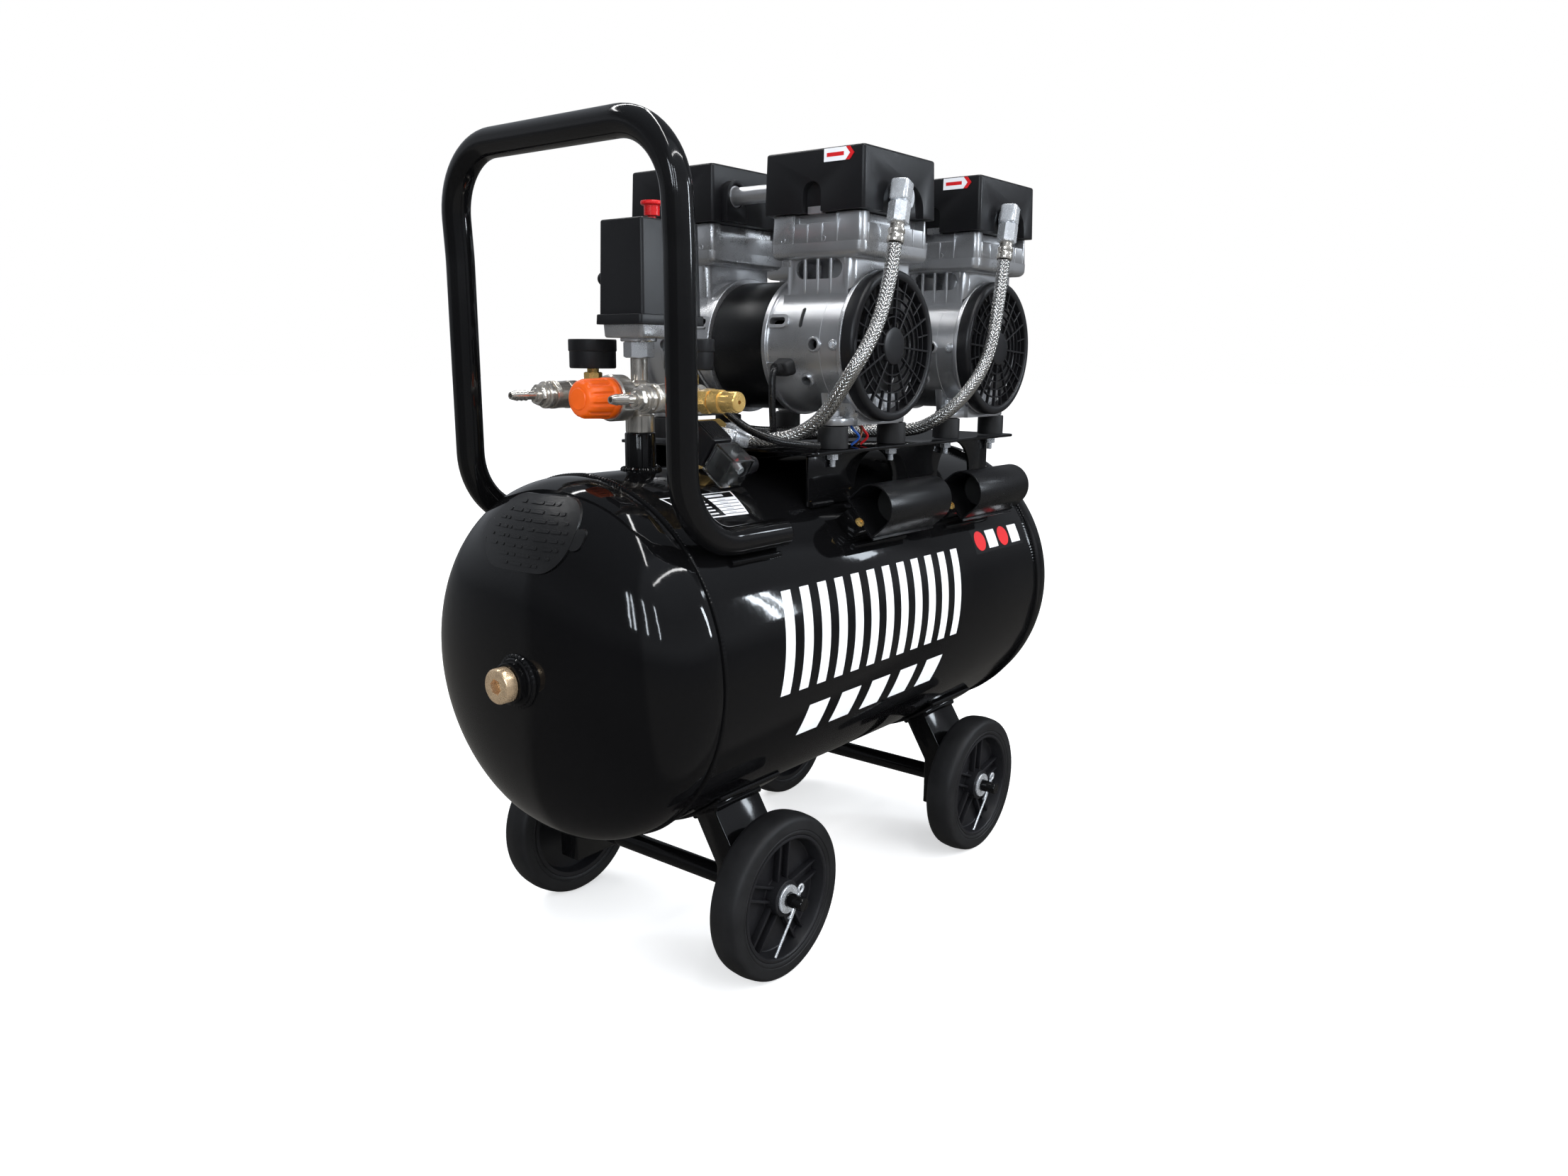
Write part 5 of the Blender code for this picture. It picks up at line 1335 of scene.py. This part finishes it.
def make_switch():
    """Pressure switch: die-cast base on a hexagon neck, plastic cover, red knob and cable glands."""
    centre = (SWITCH_X, 0)
    base = block("base", centre, (0.5555, 0.5662), (0.0345, 0.0232), (0.0352, 0.0237), 0.0040,
                 0.0018, 0.0, 3, 5)
    flange = spindle("flange", "Z", (RISER_X, 0), [(0.0150, 0.5525), (0.0156, 0.5532), (0.0156, 0.5560)], 48)
    neck = hexagon("neck", "Z", (RISER_X, 0), 0.0132, 0.5388, 0.5528, 0.3)
    place(gather("switch_base_castings", base, flange, neck), "cast", node="switch_base", sharp=26)

    body = block("body", centre, (0.5705, 0.6520), (0.0362, 0.0262), (0.0346, 0.0248), 0.0028,
                 0.0, 0.0018, 4, 5)
    skirt = block("skirt", centre, (0.5664, 0.5748), (0.0397, 0.0272), (0.0392, 0.0270), 0.0030, 0.0006,
                  0.0010, 3, 5)
    side_gland = spindle("side_gland", "Y", (-0.212, 0.605), [
        (0.0056, 0.020), (0.0056, 0.0345), (0.0048, 0.0358)], 36)
    stem = (SWITCH_X + 0.003, 0)
    cut(body, rod("well", "Z", stem, 0.0054, 0.636, 0.660, 40))
    place(gather("switch_cover_moulding", body, skirt, side_gland), "moulded", node="switch_cover", sharp=28)

    knob = spindle("switch_pull_knob", "Z", stem, [
        (0.0036, 0.6430), (0.0036, 0.6570), (0.0066, 0.6572), (0.0068, 0.6655), (0.0088, 0.6658),
        (0.0095, 0.6664), (0.0096, 0.6672), (0.0096, 0.6684), (0.0091, 0.6692), (0.0070, 0.6694)], 48)
    place(knob, "red", "switch_knob", node="switch_knob")

    gland = (-0.1560, -0.0120)
    cap = lathe("cap", "Z", gland, [
        (0.0040, 0.5400), (0.0072, 0.5400), (0.0080, 0.5412), (0.0082, 0.5500), (0.0074, 0.5512),
        (0.0040, 0.5512)], 40)
    nut = spindle("nut", "Z", gland, [(0.0092, 0.5512), (0.0094, 0.5518), (0.0094, 0.5556)], 12)
    place(gather("switch_cable_gland", cap, nut), "rubber", sharp=26)


def make_manifold():
    """Nickel-plated cross on the riser: collar, nipple, outlet bar, regulator body, coupler cores."""
    riser = (RISER_X, 0)
    parts = [
        spindle("bar", "Y", (RISER_X, BAR_Z), [
            (0.0100, -0.0710), (0.0110, -0.0700), (0.0110, 0.0700), (0.0100, 0.0710)], 48),
        spindle("collar", "Z", riser, [
            (0.0122, 0.4756), (0.0126, 0.4762), (0.0126, 0.4900), (0.0120, 0.4908), (0.0104, 0.4912),
            (0.0104, BAR_Z)], 48),
        spindle("nipple", "Z", riser, [
            (0.0092, BAR_Z), (0.0092, 0.5180), (0.0084, 0.5190), (0.0074, 0.5200), (0.0074, 0.5386)], 40),
        spindle("regulator", "X", (0, BAR_Z), [
            (0.0182, -0.2405), (0.0195, -0.2392), (0.0195, -0.2260), (0.0180, -0.2245), (0.0135, -0.2225),
            (0.0130, RISER_X)], 64),
    ]
    for side in (-1, 1):
        y = side * OUTLET_Y
        boss = [(0.0096, BAR_Z), (0.0096, 0.5155), (0.0088, 0.5166)]
        ring = [(0.0122, side * 0.0450), (0.0126, side * 0.0456),
                (0.0126, side * 0.0700), (0.0120, side * 0.0708)]
        parts += [spindle("boss", "Z", (RISER_X, y), boss, 36),
                  spindle("end_ring", "Y", (RISER_X, BAR_Z), ring, 48),
                  *make_coupler_core((y, COUPLER_Z))]
    place(gather("outlet_cross", *parts), "nickel", node="manifold", sharp=26)
    for label, side in (("left", 1), ("right", -1)):
        centre = (side * OUTLET_Y, COUPLER_Z)
        sleeve = [knurl("X", centre, 0.0121, -0.2528, -0.2464, 52, 0.0005, 0.0013),
                  knurl("X", centre, 0.0121, -0.2358, -0.2230, 52, 0.0005, 0.0013),
                  rod("waist", "X", centre, 0.0116, -0.2468, -0.2354, 64)]
        place(gather(f"coupler_{label}", *sleeve), "nickel", f"sleeve_{label}",
              node=f"coupler_sleeve_{label}", sharp=60)


def make_coupler_core(centre):
    """Quick coupler core with a hexagon, a detent groove and the barbed tail of a hose plug."""
    core = spindle("core", "X", centre, [
        (0.0106, RISER_X), (0.0106, -0.2210), (0.0094, -0.2216), (0.0094, -0.2545), (0.0110, -0.2548),
        (0.0117, -0.2554), (0.0117, -0.2586), (0.0112, -0.2592), (0.0100, -0.2594), (0.0100, -0.2612),
        (0.0094, -0.2618), (0.0082, -0.2620), (0.0082, -0.2634), (0.0062, -0.2638), (0.0062, -0.2690),
        (0.0056, -0.2698), (0.0038, -0.2704), (0.0037, -0.2780), (0.0046, -0.2790), (0.0037, -0.2830),
        (0.0046, -0.2836), (0.0036, -0.2876), (0.0045, -0.2882), (0.0033, -0.2940), (0.0030, -0.2950),
        (0.0020, -0.2950), (0.0020, -0.2760)], 48)
    return core, hexagon("hexagon", "X", centre, 0.0092, -0.2676, -0.2630, 0.3)


def make_regulator_knob():
    """Orange knob with a scalloped grip, twelve ribs with grooves between, and a stepped face."""
    start, face = -0.2409, -0.2735
    sides = 192
    rows = [(start, 0.0168, 0), (start - 0.0006, 0.0172, 0), (start - 0.0060, 0.0172, 0),
            (start - 0.0066, 0.0168, 0), (start - 0.0072, 0.0166, 0.5), (start - 0.0084, 0.0168, 1),
            (face + 0.0060, 0.0162, 1), (face + 0.0038, 0.0156, 0.7), (face + 0.0022, 0.0146, 0.2),
            (face + 0.0008, 0.0132, 0), (face, 0.0118, 0)]
    angles = [2 * pi * s / sides for s in range(sides)]
    grooves = [max(0.0, -cos(12 * angle) - 0.25) / 0.75 for angle in angles]
    rings = []
    for x, radius, depth in rows:
        reaches = [radius - depth * 0.0018 * groove ** 0.5 for groove in grooves]
        rings.append([(x, reach * cos(angle), BAR_Z + reach * sin(angle))
                      for reach, angle in zip(reaches, angles)])
    cap = spindle("cap", "X", (0, BAR_Z), [
        (0.0092, face + 0.002), (0.0092, face - 0.0005), (0.0084, face - 0.0012)], 48)
    place(gather("regulator_grip_whole", skinned("grip", rings), cap), "orange", "regulator_knob",
          node="regulator_knob", sharp=38)


def make_gauges():
    """Pressure gauges facing up: black case, brass stem, white dial with ticks and a needle, lens."""
    for letter, side in (("left", 1), ("right", -1)):
        centre = (RISER_X, side * 0.058)
        case = spindle(f"gauge_case_{letter}", "Z", centre, [
            (0.0195, 0.5293), (0.0204, 0.5300), (0.0206, 0.5310), (0.0206, 0.5440), (0.0212, 0.5446),
            (0.0213, 0.5452), (0.0213, 0.5538), (0.0209, 0.5546), (0.0194, 0.5546), (0.0190, 0.5542),
            (0.0190, 0.5505)], 96)
        place(case, "moulded", node=f"gauge_{letter}", sharp=26)
        stem = [hexagon("stem", "Z", centre, 0.0082, 0.5168, 0.5262, 0.4),
                rod("neck", "Z", centre, 0.0052, 0.5255, 0.5300, 32)]
        place(gather(f"gauge_stem_{letter}", *stem), "brass", sharp=26)
        place(rod(f"gauge_dial_{letter}", "Z", centre, 0.0188, 0.5504, 0.5510, 64), "white")
        place(moved(gather(f"gauge_ticks_{letter}", *dial_ticks()), (*centre, 0)), "label_black")
        needle = gather(f"gauge_needle_{letter}",
                        box("needle", (-0.004, 0.0138), (-0.0004, 0.0004), (0.5518, 0.5523)),
                        rod("hub", "Z", (0, 0), 0.0022, 0.5511, 0.5526, 24))
        place(moved(turned(needle, "Z", 225), (*centre, 0)), "label_red")
        place(rod(f"gauge_lens_{letter}", "Z", centre, 0.0189, 0.5532, 0.5541, 64), "clear")


def dial_ticks():
    """Twenty divisions over 270 degrees, every fifth one longer."""
    ticks = []
    for k in range(21):
        inner, half = (0.0125, 0.00032) if k % 5 == 0 else (0.0145, 0.00018)
        tick = box("tick", (inner, 0.0168), (-half, half), (0.5509, 0.5513))
        ticks.append(turned(tick, "Z", 225 - 13.5 * k))
    return ticks


def make_safety_valve():
    """Turned brass relief valve with a knurled band, a hexagon and a drilled end."""
    centre = (RISER_X, BAR_Z - 0.001)
    body = spindle("body", "Y", centre, [
        (0.0070, -0.0714), (0.0074, -0.0718), (0.0074, -0.0745), (0.0078, -0.0750), (0.0078, -0.0842),
        (0.0086, -0.0848), (0.0086, -0.0962), (0.0080, -0.0966), (0.0080, -0.0978), (0.0087, -0.0984),
        (0.0087, -0.1112), (0.0083, -0.1124), (0.0074, -0.1131), (0.0017, -0.1131), (0.0017, -0.1060)], 56)
    parts = [body, hexagon("hexagon", "Y", centre, 0.0108, -0.0842, -0.0742, 0.2),
             knurl("Y", centre, 0.0098, -0.0958, -0.0852, 40, 0.0004, 0.0014)]
    place(gather("safety_valve_turned", *parts), "brass", node="safety_valve", sharp=34)


def make_check_valve():
    """Brass check valve with hexagon body, cross block and the two hose tails."""
    x, y = -0.150, -0.030
    cross = (y, BRANCH_Z)
    foot = TANK_Z + sqrt((TANK_R + 0.0004) ** 2 - 0.018 ** 2)
    parts = [hexagon("body", "Z", (x, y), 0.0115, foot, 0.4655, 0.2),
             rod("throat", "Z", (x, y), 0.0082, 0.4600, BRANCH_Z, 36),
             hexagon("block", "X", cross, 0.0120, -0.1700, -0.1330, 0.5),
             spindle("nose", "X", cross, [(0.0062, -0.1760), (0.0072, -0.1750), (0.0072, -0.1695)], 36)]
    place(gather("check_valve_brass", *parts), "brass", node="check_valve", sharp=26)
    tail = [rod("tail", "X", cross, 0.0060, -0.1340, -0.1290, 36),
            hexagon("nut", "X", cross, 0.0088, -0.1310, -0.1225, 0.1),
            spindle("ferrule", "X", cross, [
                (0.0074, -0.1230), (0.0078, -0.1222), (0.0078, -0.1100), (0.0074, -0.1090)], 40)]
    place(gather("hose_tail_2", *tail), "zinc", sharp=26)
    start, end = Vector((-0.1440, -0.0440, 0.4735)), Vector((-0.1354, -0.0536, 0.4706))
    ahead = (end - start).normalized()
    ferrule = spindle("ferrule", "Z", (0, 0), [
        (0.0074, 0), (0.0078, 0.0008), (0.0078, 0.0115), (0.0074, 0.0125)], 40)
    branch = [sweep("branch", [Vector((x + 0.003, *cross)), start, end], 0.0060, 28),
              aim(hexagon("nut", "Z", (0, 0), 0.0090, 0.0, 0.0085), start, ahead),
              aim(ferrule, end - ahead * 0.003, ahead)]
    place(gather("hose_tail_1", *branch), "zinc", sharp=26)


def leaned(item):
    """Tip a piece of the coil's assembly forward over the tank and put it in its place."""
    return moved(turned(item, "X", COIL_LEAN), COIL_AT)


def make_solenoid():
    """Unloader coil with its finned face, and the clear plug box with its gland and contacts."""
    coil = block("coil", (0, 0.0280), (-0.0140, 0.0140), (0.0128, 0.0140), (0.0125, 0.0137), 0.0030,
                 0.0012, 0.0014, 3, 4)
    parts = [coil, box("coil_neck", (-0.0060, 0.0060), (0.0100, 0.0160), (-0.0060, 0.0060))]
    for x in spaced(-0.0100, 0.0025, 9):
        fin = box("fin", (x - 0.0008, x + 0.0008), (0.0170, 0.0390), (0.0134, 0.0150))
        parts.append(bevel(fin, 0.0003, 1))
    place(leaned(gather("unloader_coil", *parts)), "guard", node="solenoid", sharp=26)
    make_plug_box()


def make_plug_box():
    centre = (0, -0.0015)
    shell = block("plug_box_shell", centre, (-0.0141, 0.0141), (0.0136, 0.0135), (0.0134, 0.0133), 0.0022,
                  0.0012, 0.0016, 3, 4)
    cut(shell, stack("hollow", centre, [(z, 0.0120, 0.0119, 0.0016) for z in (-0.0125, 0.0125)], 4))
    place(leaned(shell), "clear", sharp=26)
    gland = spindle("plug_box_gland", "X", (-0.0020, -0.0020), [
        (0.0084, 0.0138), (0.0087, 0.0144), (0.0087, 0.0176), (0.0081, 0.0180), (0.0081, 0.0190),
        (0.0087, 0.0194), (0.0087, 0.0226), (0.0080, 0.0232), (0.0080, 0.0290), (0.0070, 0.0330),
        (0.0052, 0.0340)], 40)
    place(leaned(gland), "guard", sharp=26)
    inside = [box("block", (-0.0105, 0.0095), (-0.0095, 0.0085), (-0.0120, -0.0030)),
              box("wall", (-0.0105, -0.0085), (-0.0095, 0.0085), (-0.0040, 0.0100)),
              box("seal", (-0.0112, 0.0112), (0.0092, 0.0101), (-0.0116, 0.0116))]
    place(leaned(gather("plug_box_block", *inside)), "dark")
    fixing = rod("plug_box_screw", "Y", (0.0050, 0.0010), 0.0034, -0.0118, -0.0040, 32)
    place(leaned(fixing), "zinc", round_by=0.0004)
    lead = smooth([(-0.0060, -0.0020, 0.0010), (-0.0030, -0.0060, 0.0075), (0.0020, -0.0050, 0.0080),
                   (0.0075, 0.0000, 0.0030)], 0.001)
    place(leaned(sweep("plug_box_wires", lead, 0.0011, 12)), "label_red")


# ---------------------------------------------------------------- capacitor covers

def leant(base, along, out):
    """(y, z) at a distance along and out from base on the tank's shoulder."""
    return tuple(base + LEAN_ALONG * along + LEAN_OUT * out)


def cover_section(base, radius, rise, floor, steps=40):
    """Half-round section: straight sides from floor up to rise, then an arc."""
    roof = [(-radius * cos(pi * k / steps), rise + radius * sin(pi * k / steps)) for k in range(steps + 1)]
    return [leant(base, a, h) for a, h in [(-radius, floor)] + roof + [(radius, floor)]]


def strip_section(base, half, low, high):
    return [leant(base, a, h) for a, h in rectangle(-half, half, low, high)]


def make_capacitor_cover(number, x0, x1):
    """Half-round cover over a run capacitor, open at its -X end, on a strap welded to the tank."""
    base = Vector(TANK_AXIS) + LEAN_OUT * (TANK_R + 0.0165)
    shell = prism("shell", "X", cover_section(base, 0.0220, 0.0175, 0.0), x0, x1)
    cut(shell, prism("hollow", "X", cover_section(base, 0.0203, 0.0175, 0.0022), x0 - 0.01, x1 - 0.002))
    flange = prism("flange", "X", strip_section(base, 0.0242, 0.0002, 0.0019), x0 + 0.0005, x1 - 0.0010)
    place(gather(f"capacitor_shell_{number}", bevel(shell, 0.0005), bevel(flange, 0.0005)), "motor",
          node=f"capacitor_cover_{number}", sharp=28)
    strap = prism(f"capacitor_strap_{number}", "X", strip_section(base, 0.0120, -0.0190, 0.0006),
                  x0 - 0.008, x1 - 0.022)
    cut(strap, rod("belly", "X", TANK_AXIS, TANK_R + 0.0002, x0 - 0.02, x1 + 0.01, 160))
    place(bevel(strap, 0.0008), "powder")
    # The capacitor is a real part. Its near-black matte colour is also painted shade, standing in for the
    # shade deep inside the open end of the cover.
    can = spindle(f"capacitor_{number}", "X", leant(base, 0, 0.0185), [
        (0.0160, x0 + 0.034), (0.0172, x0 + 0.0352), (0.0172, x1 - 0.006)], 48)
    place(can, "dark")
    head = [(0, 0), (0.0044, 0), (0.0044, 0.00153), (0.003784, 0.00289), (0.0022, 0.0034), (0, 0.0034)]
    fixing = gather(f"capacitor_screw_{number}", cross_screw(head, 28, 0.00242, 0.000572, 0.00187, 0.0044))
    aim(fixing, Vector((x0 - 0.0040, *leant(base, 0.0040, 0.0006))), Vector((0, *LEAN_OUT)))
    place(fixing, "brass")
    toe = Vector(leant(base, 0.0180, -0.0165)) - Vector(TANK_AXIS)
    y, z = on_tank(degrees(atan2(toe.y, toe.x)), 0.0008)
    bead = straight_bead(x0 - 0.006, x1 - 0.024, y, z, 0.0026, x0 * 50, f"strap_weld_{number}")
    place(bead, "enamel")


# ---------------------------------------------------------------- hoses and cables

def ribbon_rings(frames, step, way, carrier):
    """Rings of one ribbon of the braid, wound one way round the line, over two and under two."""
    rings = []
    for k, (spot, side, across) in enumerate(frames):
        turns = k * step / BRAID_PITCH
        angle = 2 * pi * (way * turns + carrier / CARRIERS)
        over = way * WEAVE * sin(pi * (carrier + way * CARRIERS * turns) + pi / 4)
        ring = []
        for share, lift in RIBBON_SECTION:
            a = angle + share * RIBBON
            ring.append(spot + (side * cos(a) + across * sin(a)) * (HOSE_R - 0.00022 + over + lift))
        rings.append(ring)
    return rings


def braid(name, line):
    """Woven steel sleeve: ribbons wound both ways round the line."""
    frames = carried_frames(line)
    step = length_of(line) / (len(line) - 1)
    bm = bmesh.new()
    for way in (1, -1):
        for carrier in range(CARRIERS):
            bridge(bm, [[bm.verts.new(spot) for spot in ring]
                        for ring in ribbon_rings(frames, step, way, carrier)])
    return from_bmesh(name, bm)


def make_hoses():
    for unit, route in HOSE_ROUTES.items():
        line = smooth(route, 0.00095)
        sleeve = braid(f"braided_hose_{unit}", line)
        core = sweep(f"hose_core_{unit}", smooth(route, 0.004), HOSE_R - 0.0009, 20)
        place(core, "braid_core")
        place(sleeve, "braid", node=f"hose_{unit}", sharp=50)
        track = [p + ORIGIN for p in smooth(route, 0.006)]
        tuple(track[0])
        length_of(track)
        [tuple(p) for p in track]


def make_cable(name, route, radius, node):
    """A round cable as a bevelled curve through closely spaced points."""
    line = [p + ORIGIN for p in smooth(route, 0.004)]
    curve = bpy.data.curves.new(name, "CURVE")
    curve.dimensions = "3D"
    curve.bevel_depth = radius
    curve.bevel_resolution = 6
    curve.use_fill_caps = True
    spline = curve.splines.new("POLY")
    spline.points.add(len(line) - 1)
    for slot, spot in zip(spline.points, line):
        slot.co = (*spot, 1.0)
    spline.use_smooth = True
    item = in_scene(name, curve)
    place(item, "cable", node=node)
    tuple(line[0])
    length_of(line)


def make_wires():
    """Coloured leads under unit 1, between the bed plate and the motor."""
    x0 = UNIT_XS["1"]
    leads = (("blue", "blue_wire", -0.012, 0.004), ("brown", "brown_wire", -0.004, -0.002),
             ("red", "label_red", 0.003, 0.003))
    for label, look, dx, bow in leads:
        x = x0 + dx
        route = [(x, -0.1000, 0.4604), (x + bow, -0.1060, 0.4680),
                 (x - bow, -0.1040, 0.4760), (x, -0.0960, 0.4835)]
        place(sweep(f"lead_{label}", smooth(route, 0.0015), 0.0012, 12), look)


# ---------------------------------------------------------------- light and floor

def lamp(name, at, towards, size, power, colour=WHITE):
    data = bpy.data.lights.new(name, "AREA")
    data.shape = "RECTANGLE"
    data.size, data.size_y = size
    data.energy = power
    data.color = colour
    item = in_scene(name, data)
    item.location = at
    item.rotation_euler = (Vector(towards) - Vector(at)).to_track_quat("-Z", "Y").to_euler()
    return item


def fill(name, at, towards, size, power):
    """A big soft lamp that lights the surfaces but doesn't show in glossy ones."""
    lamp(name, at, towards, size, power).visible_glossy = False


def ramp(tree, value, stops):
    """The colour for a value from -1 to 1; stops are (share of the way, colour)."""
    node = add_node(tree, "ValToRGB", {"Fac": spread_over(tree, value, 0.0, 1.0, -1.0, 1.0)})
    elements = node.color_ramp.elements
    for element, (share, colour) in zip(elements, (stops[0], stops[-1])):
        element.position = share
        element.color = (*colour, 1.0)
    for share, colour in stops[1:-1]:
        elements.new(share).color = (*colour, 1.0)
    return node.outputs["Color"]


def make_world():
    """Pale backdrop for the camera, a dim room for everything that the object reflects."""
    world = bpy.data.worlds.new("studio")
    world.use_nodes = True
    tree = world.node_tree
    tree.nodes.clear()
    height = add_node(tree, "SeparateXYZ", {"Vector": add_node(tree, "TexCoord").outputs["Generated"]})
    ground, sky = (0.36, (0.200, 0.195, 0.185)), (1.0, (0.58, 0.63, 0.70))
    bands = ((0.50, 0.16), (0.58, 0.42), (0.72, 0.34))
    room = [(share, (level * 0.92, level * 0.97, level * 1.05)) for share, level in bands]
    sides = ((0.0, 1.0), (0.27, 1.0), (0.31, 0.40), (0.83, 0.40), (0.855, 1.0), (1.0, 1.0))
    walls = [(share, (level, level, level)) for share, level in sides]
    dim = add_node(tree, "Background", {"Color": ramp(tree, height.outputs["Z"], [ground, *room, sky]),
                                        "Strength": ramp(tree, height.outputs["Y"], walls)})
    pale = add_node(tree, "Background", {"Color": (*WHITE, 1.0), "Strength": BACKDROP})
    rays = add_node(tree, "LightPath")
    mixer = add_node(tree, "MixShader", {"Fac": rays.outputs["Is Camera Ray"],
                                         1: dim.outputs["Background"], 2: pale.outputs["Background"]})
    add_node(tree, "OutputWorld", {"Surface": mixer.outputs["Shader"]})
    bpy.context.scene.world = world


def make_floor():
    """White paper on the ground; it glows as it goes away, so that it runs into the backdrop."""
    bm = bmesh.new()
    bm.faces.new([bm.verts.new((x, y, 0.0)) for x, y in round_points((0, 0), 30, 96)])
    floor = from_bmesh("floor", bm)
    mat, tree, shader, coords = new_material("floor_paper")
    reach = add_node(tree, "VectorMath", {0: coords}, operation="LENGTH")
    rays = add_node(tree, "LightPath")
    glow = add_node(tree, "Math", {0: spread_over(tree, reach.outputs["Value"], 0.50, BACKDROP, 0.5, 6.0),
                                   1: rays.outputs["Is Camera Ray"]}, operation="MULTIPLY")
    feed(tree, shader, {"Base Color": (0.80, 0.80, 0.80, 1.0), "Roughness": 0.9, "Specular IOR Level": 0.1,
                        "Emission Color": (*WHITE, 1.0), "Emission Strength": glow.outputs[0]})
    floor.data.materials.append(mat)
    floor.visible_glossy = False


def make_lights():
    """Soft fills, tall narrow panes that show as window light, and long strips overhead."""
    make_world()
    bpy.context.scene.view_settings.view_transform = "Standard"
    fill("fill_front", (-0.8, -3.0, 2.0), (0, 0, 0.45), (2.6, 1.6), 62)
    fill("fill_left", (-3.0, 0.1, 1.6), (0, 0, 0.45), (1.8, 1.6), 30)
    fill("fill_right", (2.2, -2.4, 1.8), (0, 0, 0.45), (1.8, 1.6), 40)
    fill("fill_back", (0.4, 2.8, 2.2), (0, 0, 0.5), (2.2, 1.2), 45)
    shoulder = Vector((-0.25, -0.147, 0.34))
    for k, x in enumerate((1.59, 1.46)):
        lamp(f"pane_right_{k}", (x, -2.24, 1.19), shoulder, (0.05, 0.75), 8, WINDOW_BLUE)
    lamp("pane_leg", (2.29, -1.55, 1.60), (-0.18, -0.13, 0.14), (0.20, 0.24), 2.2, WINDOW_BLUE)
    for azimuth in (196, 200, 212, 226):
        away = Vector((cos(radians(azimuth)), sin(radians(azimuth)), 0.42))
        lamp(f"pane_left_{azimuth}", shoulder + away * 3.2, shoulder, (0.08, 1.1), 8, WINDOW_BLUE)
    lamp("strip_front", (0.2, -2.1, 3.0), (0, 0, 0.4), (4.0, 0.07), 26)
    lamp("strip_over", (0.2, -0.2, 3.2), (0, 0, 0.4), (4.0, 0.10), 34)
    lamp("strip_back", (0.2, 1.8, 3.0), (0, 0, 0.4), (4.0, 0.10), 26)


def main():
    make_camera()
    make_hoses()
    make_cable("switch_lead", SWITCH_CABLE, 0.0036, "switch_cable")
    make_cable("motor_lead", MOTOR_CABLE, 0.0032, "motor_cable")
    make_shell()
    make_tank_fittings()
    make_dome_plate()
    make_tank_graphics()
    make_handle()
    make_running_gear()
    make_bed()
    make_feet()
    make_units()
    make_switch()
    make_manifold()
    make_regulator_knob()
    make_gauges()
    make_safety_valve()
    make_check_valve()
    make_solenoid()
    for number, (x0, x1) in COVER_XS.items():
        make_capacitor_cover(number, x0, x1)
    make_wires()
    make_floor()
    make_lights()


main()
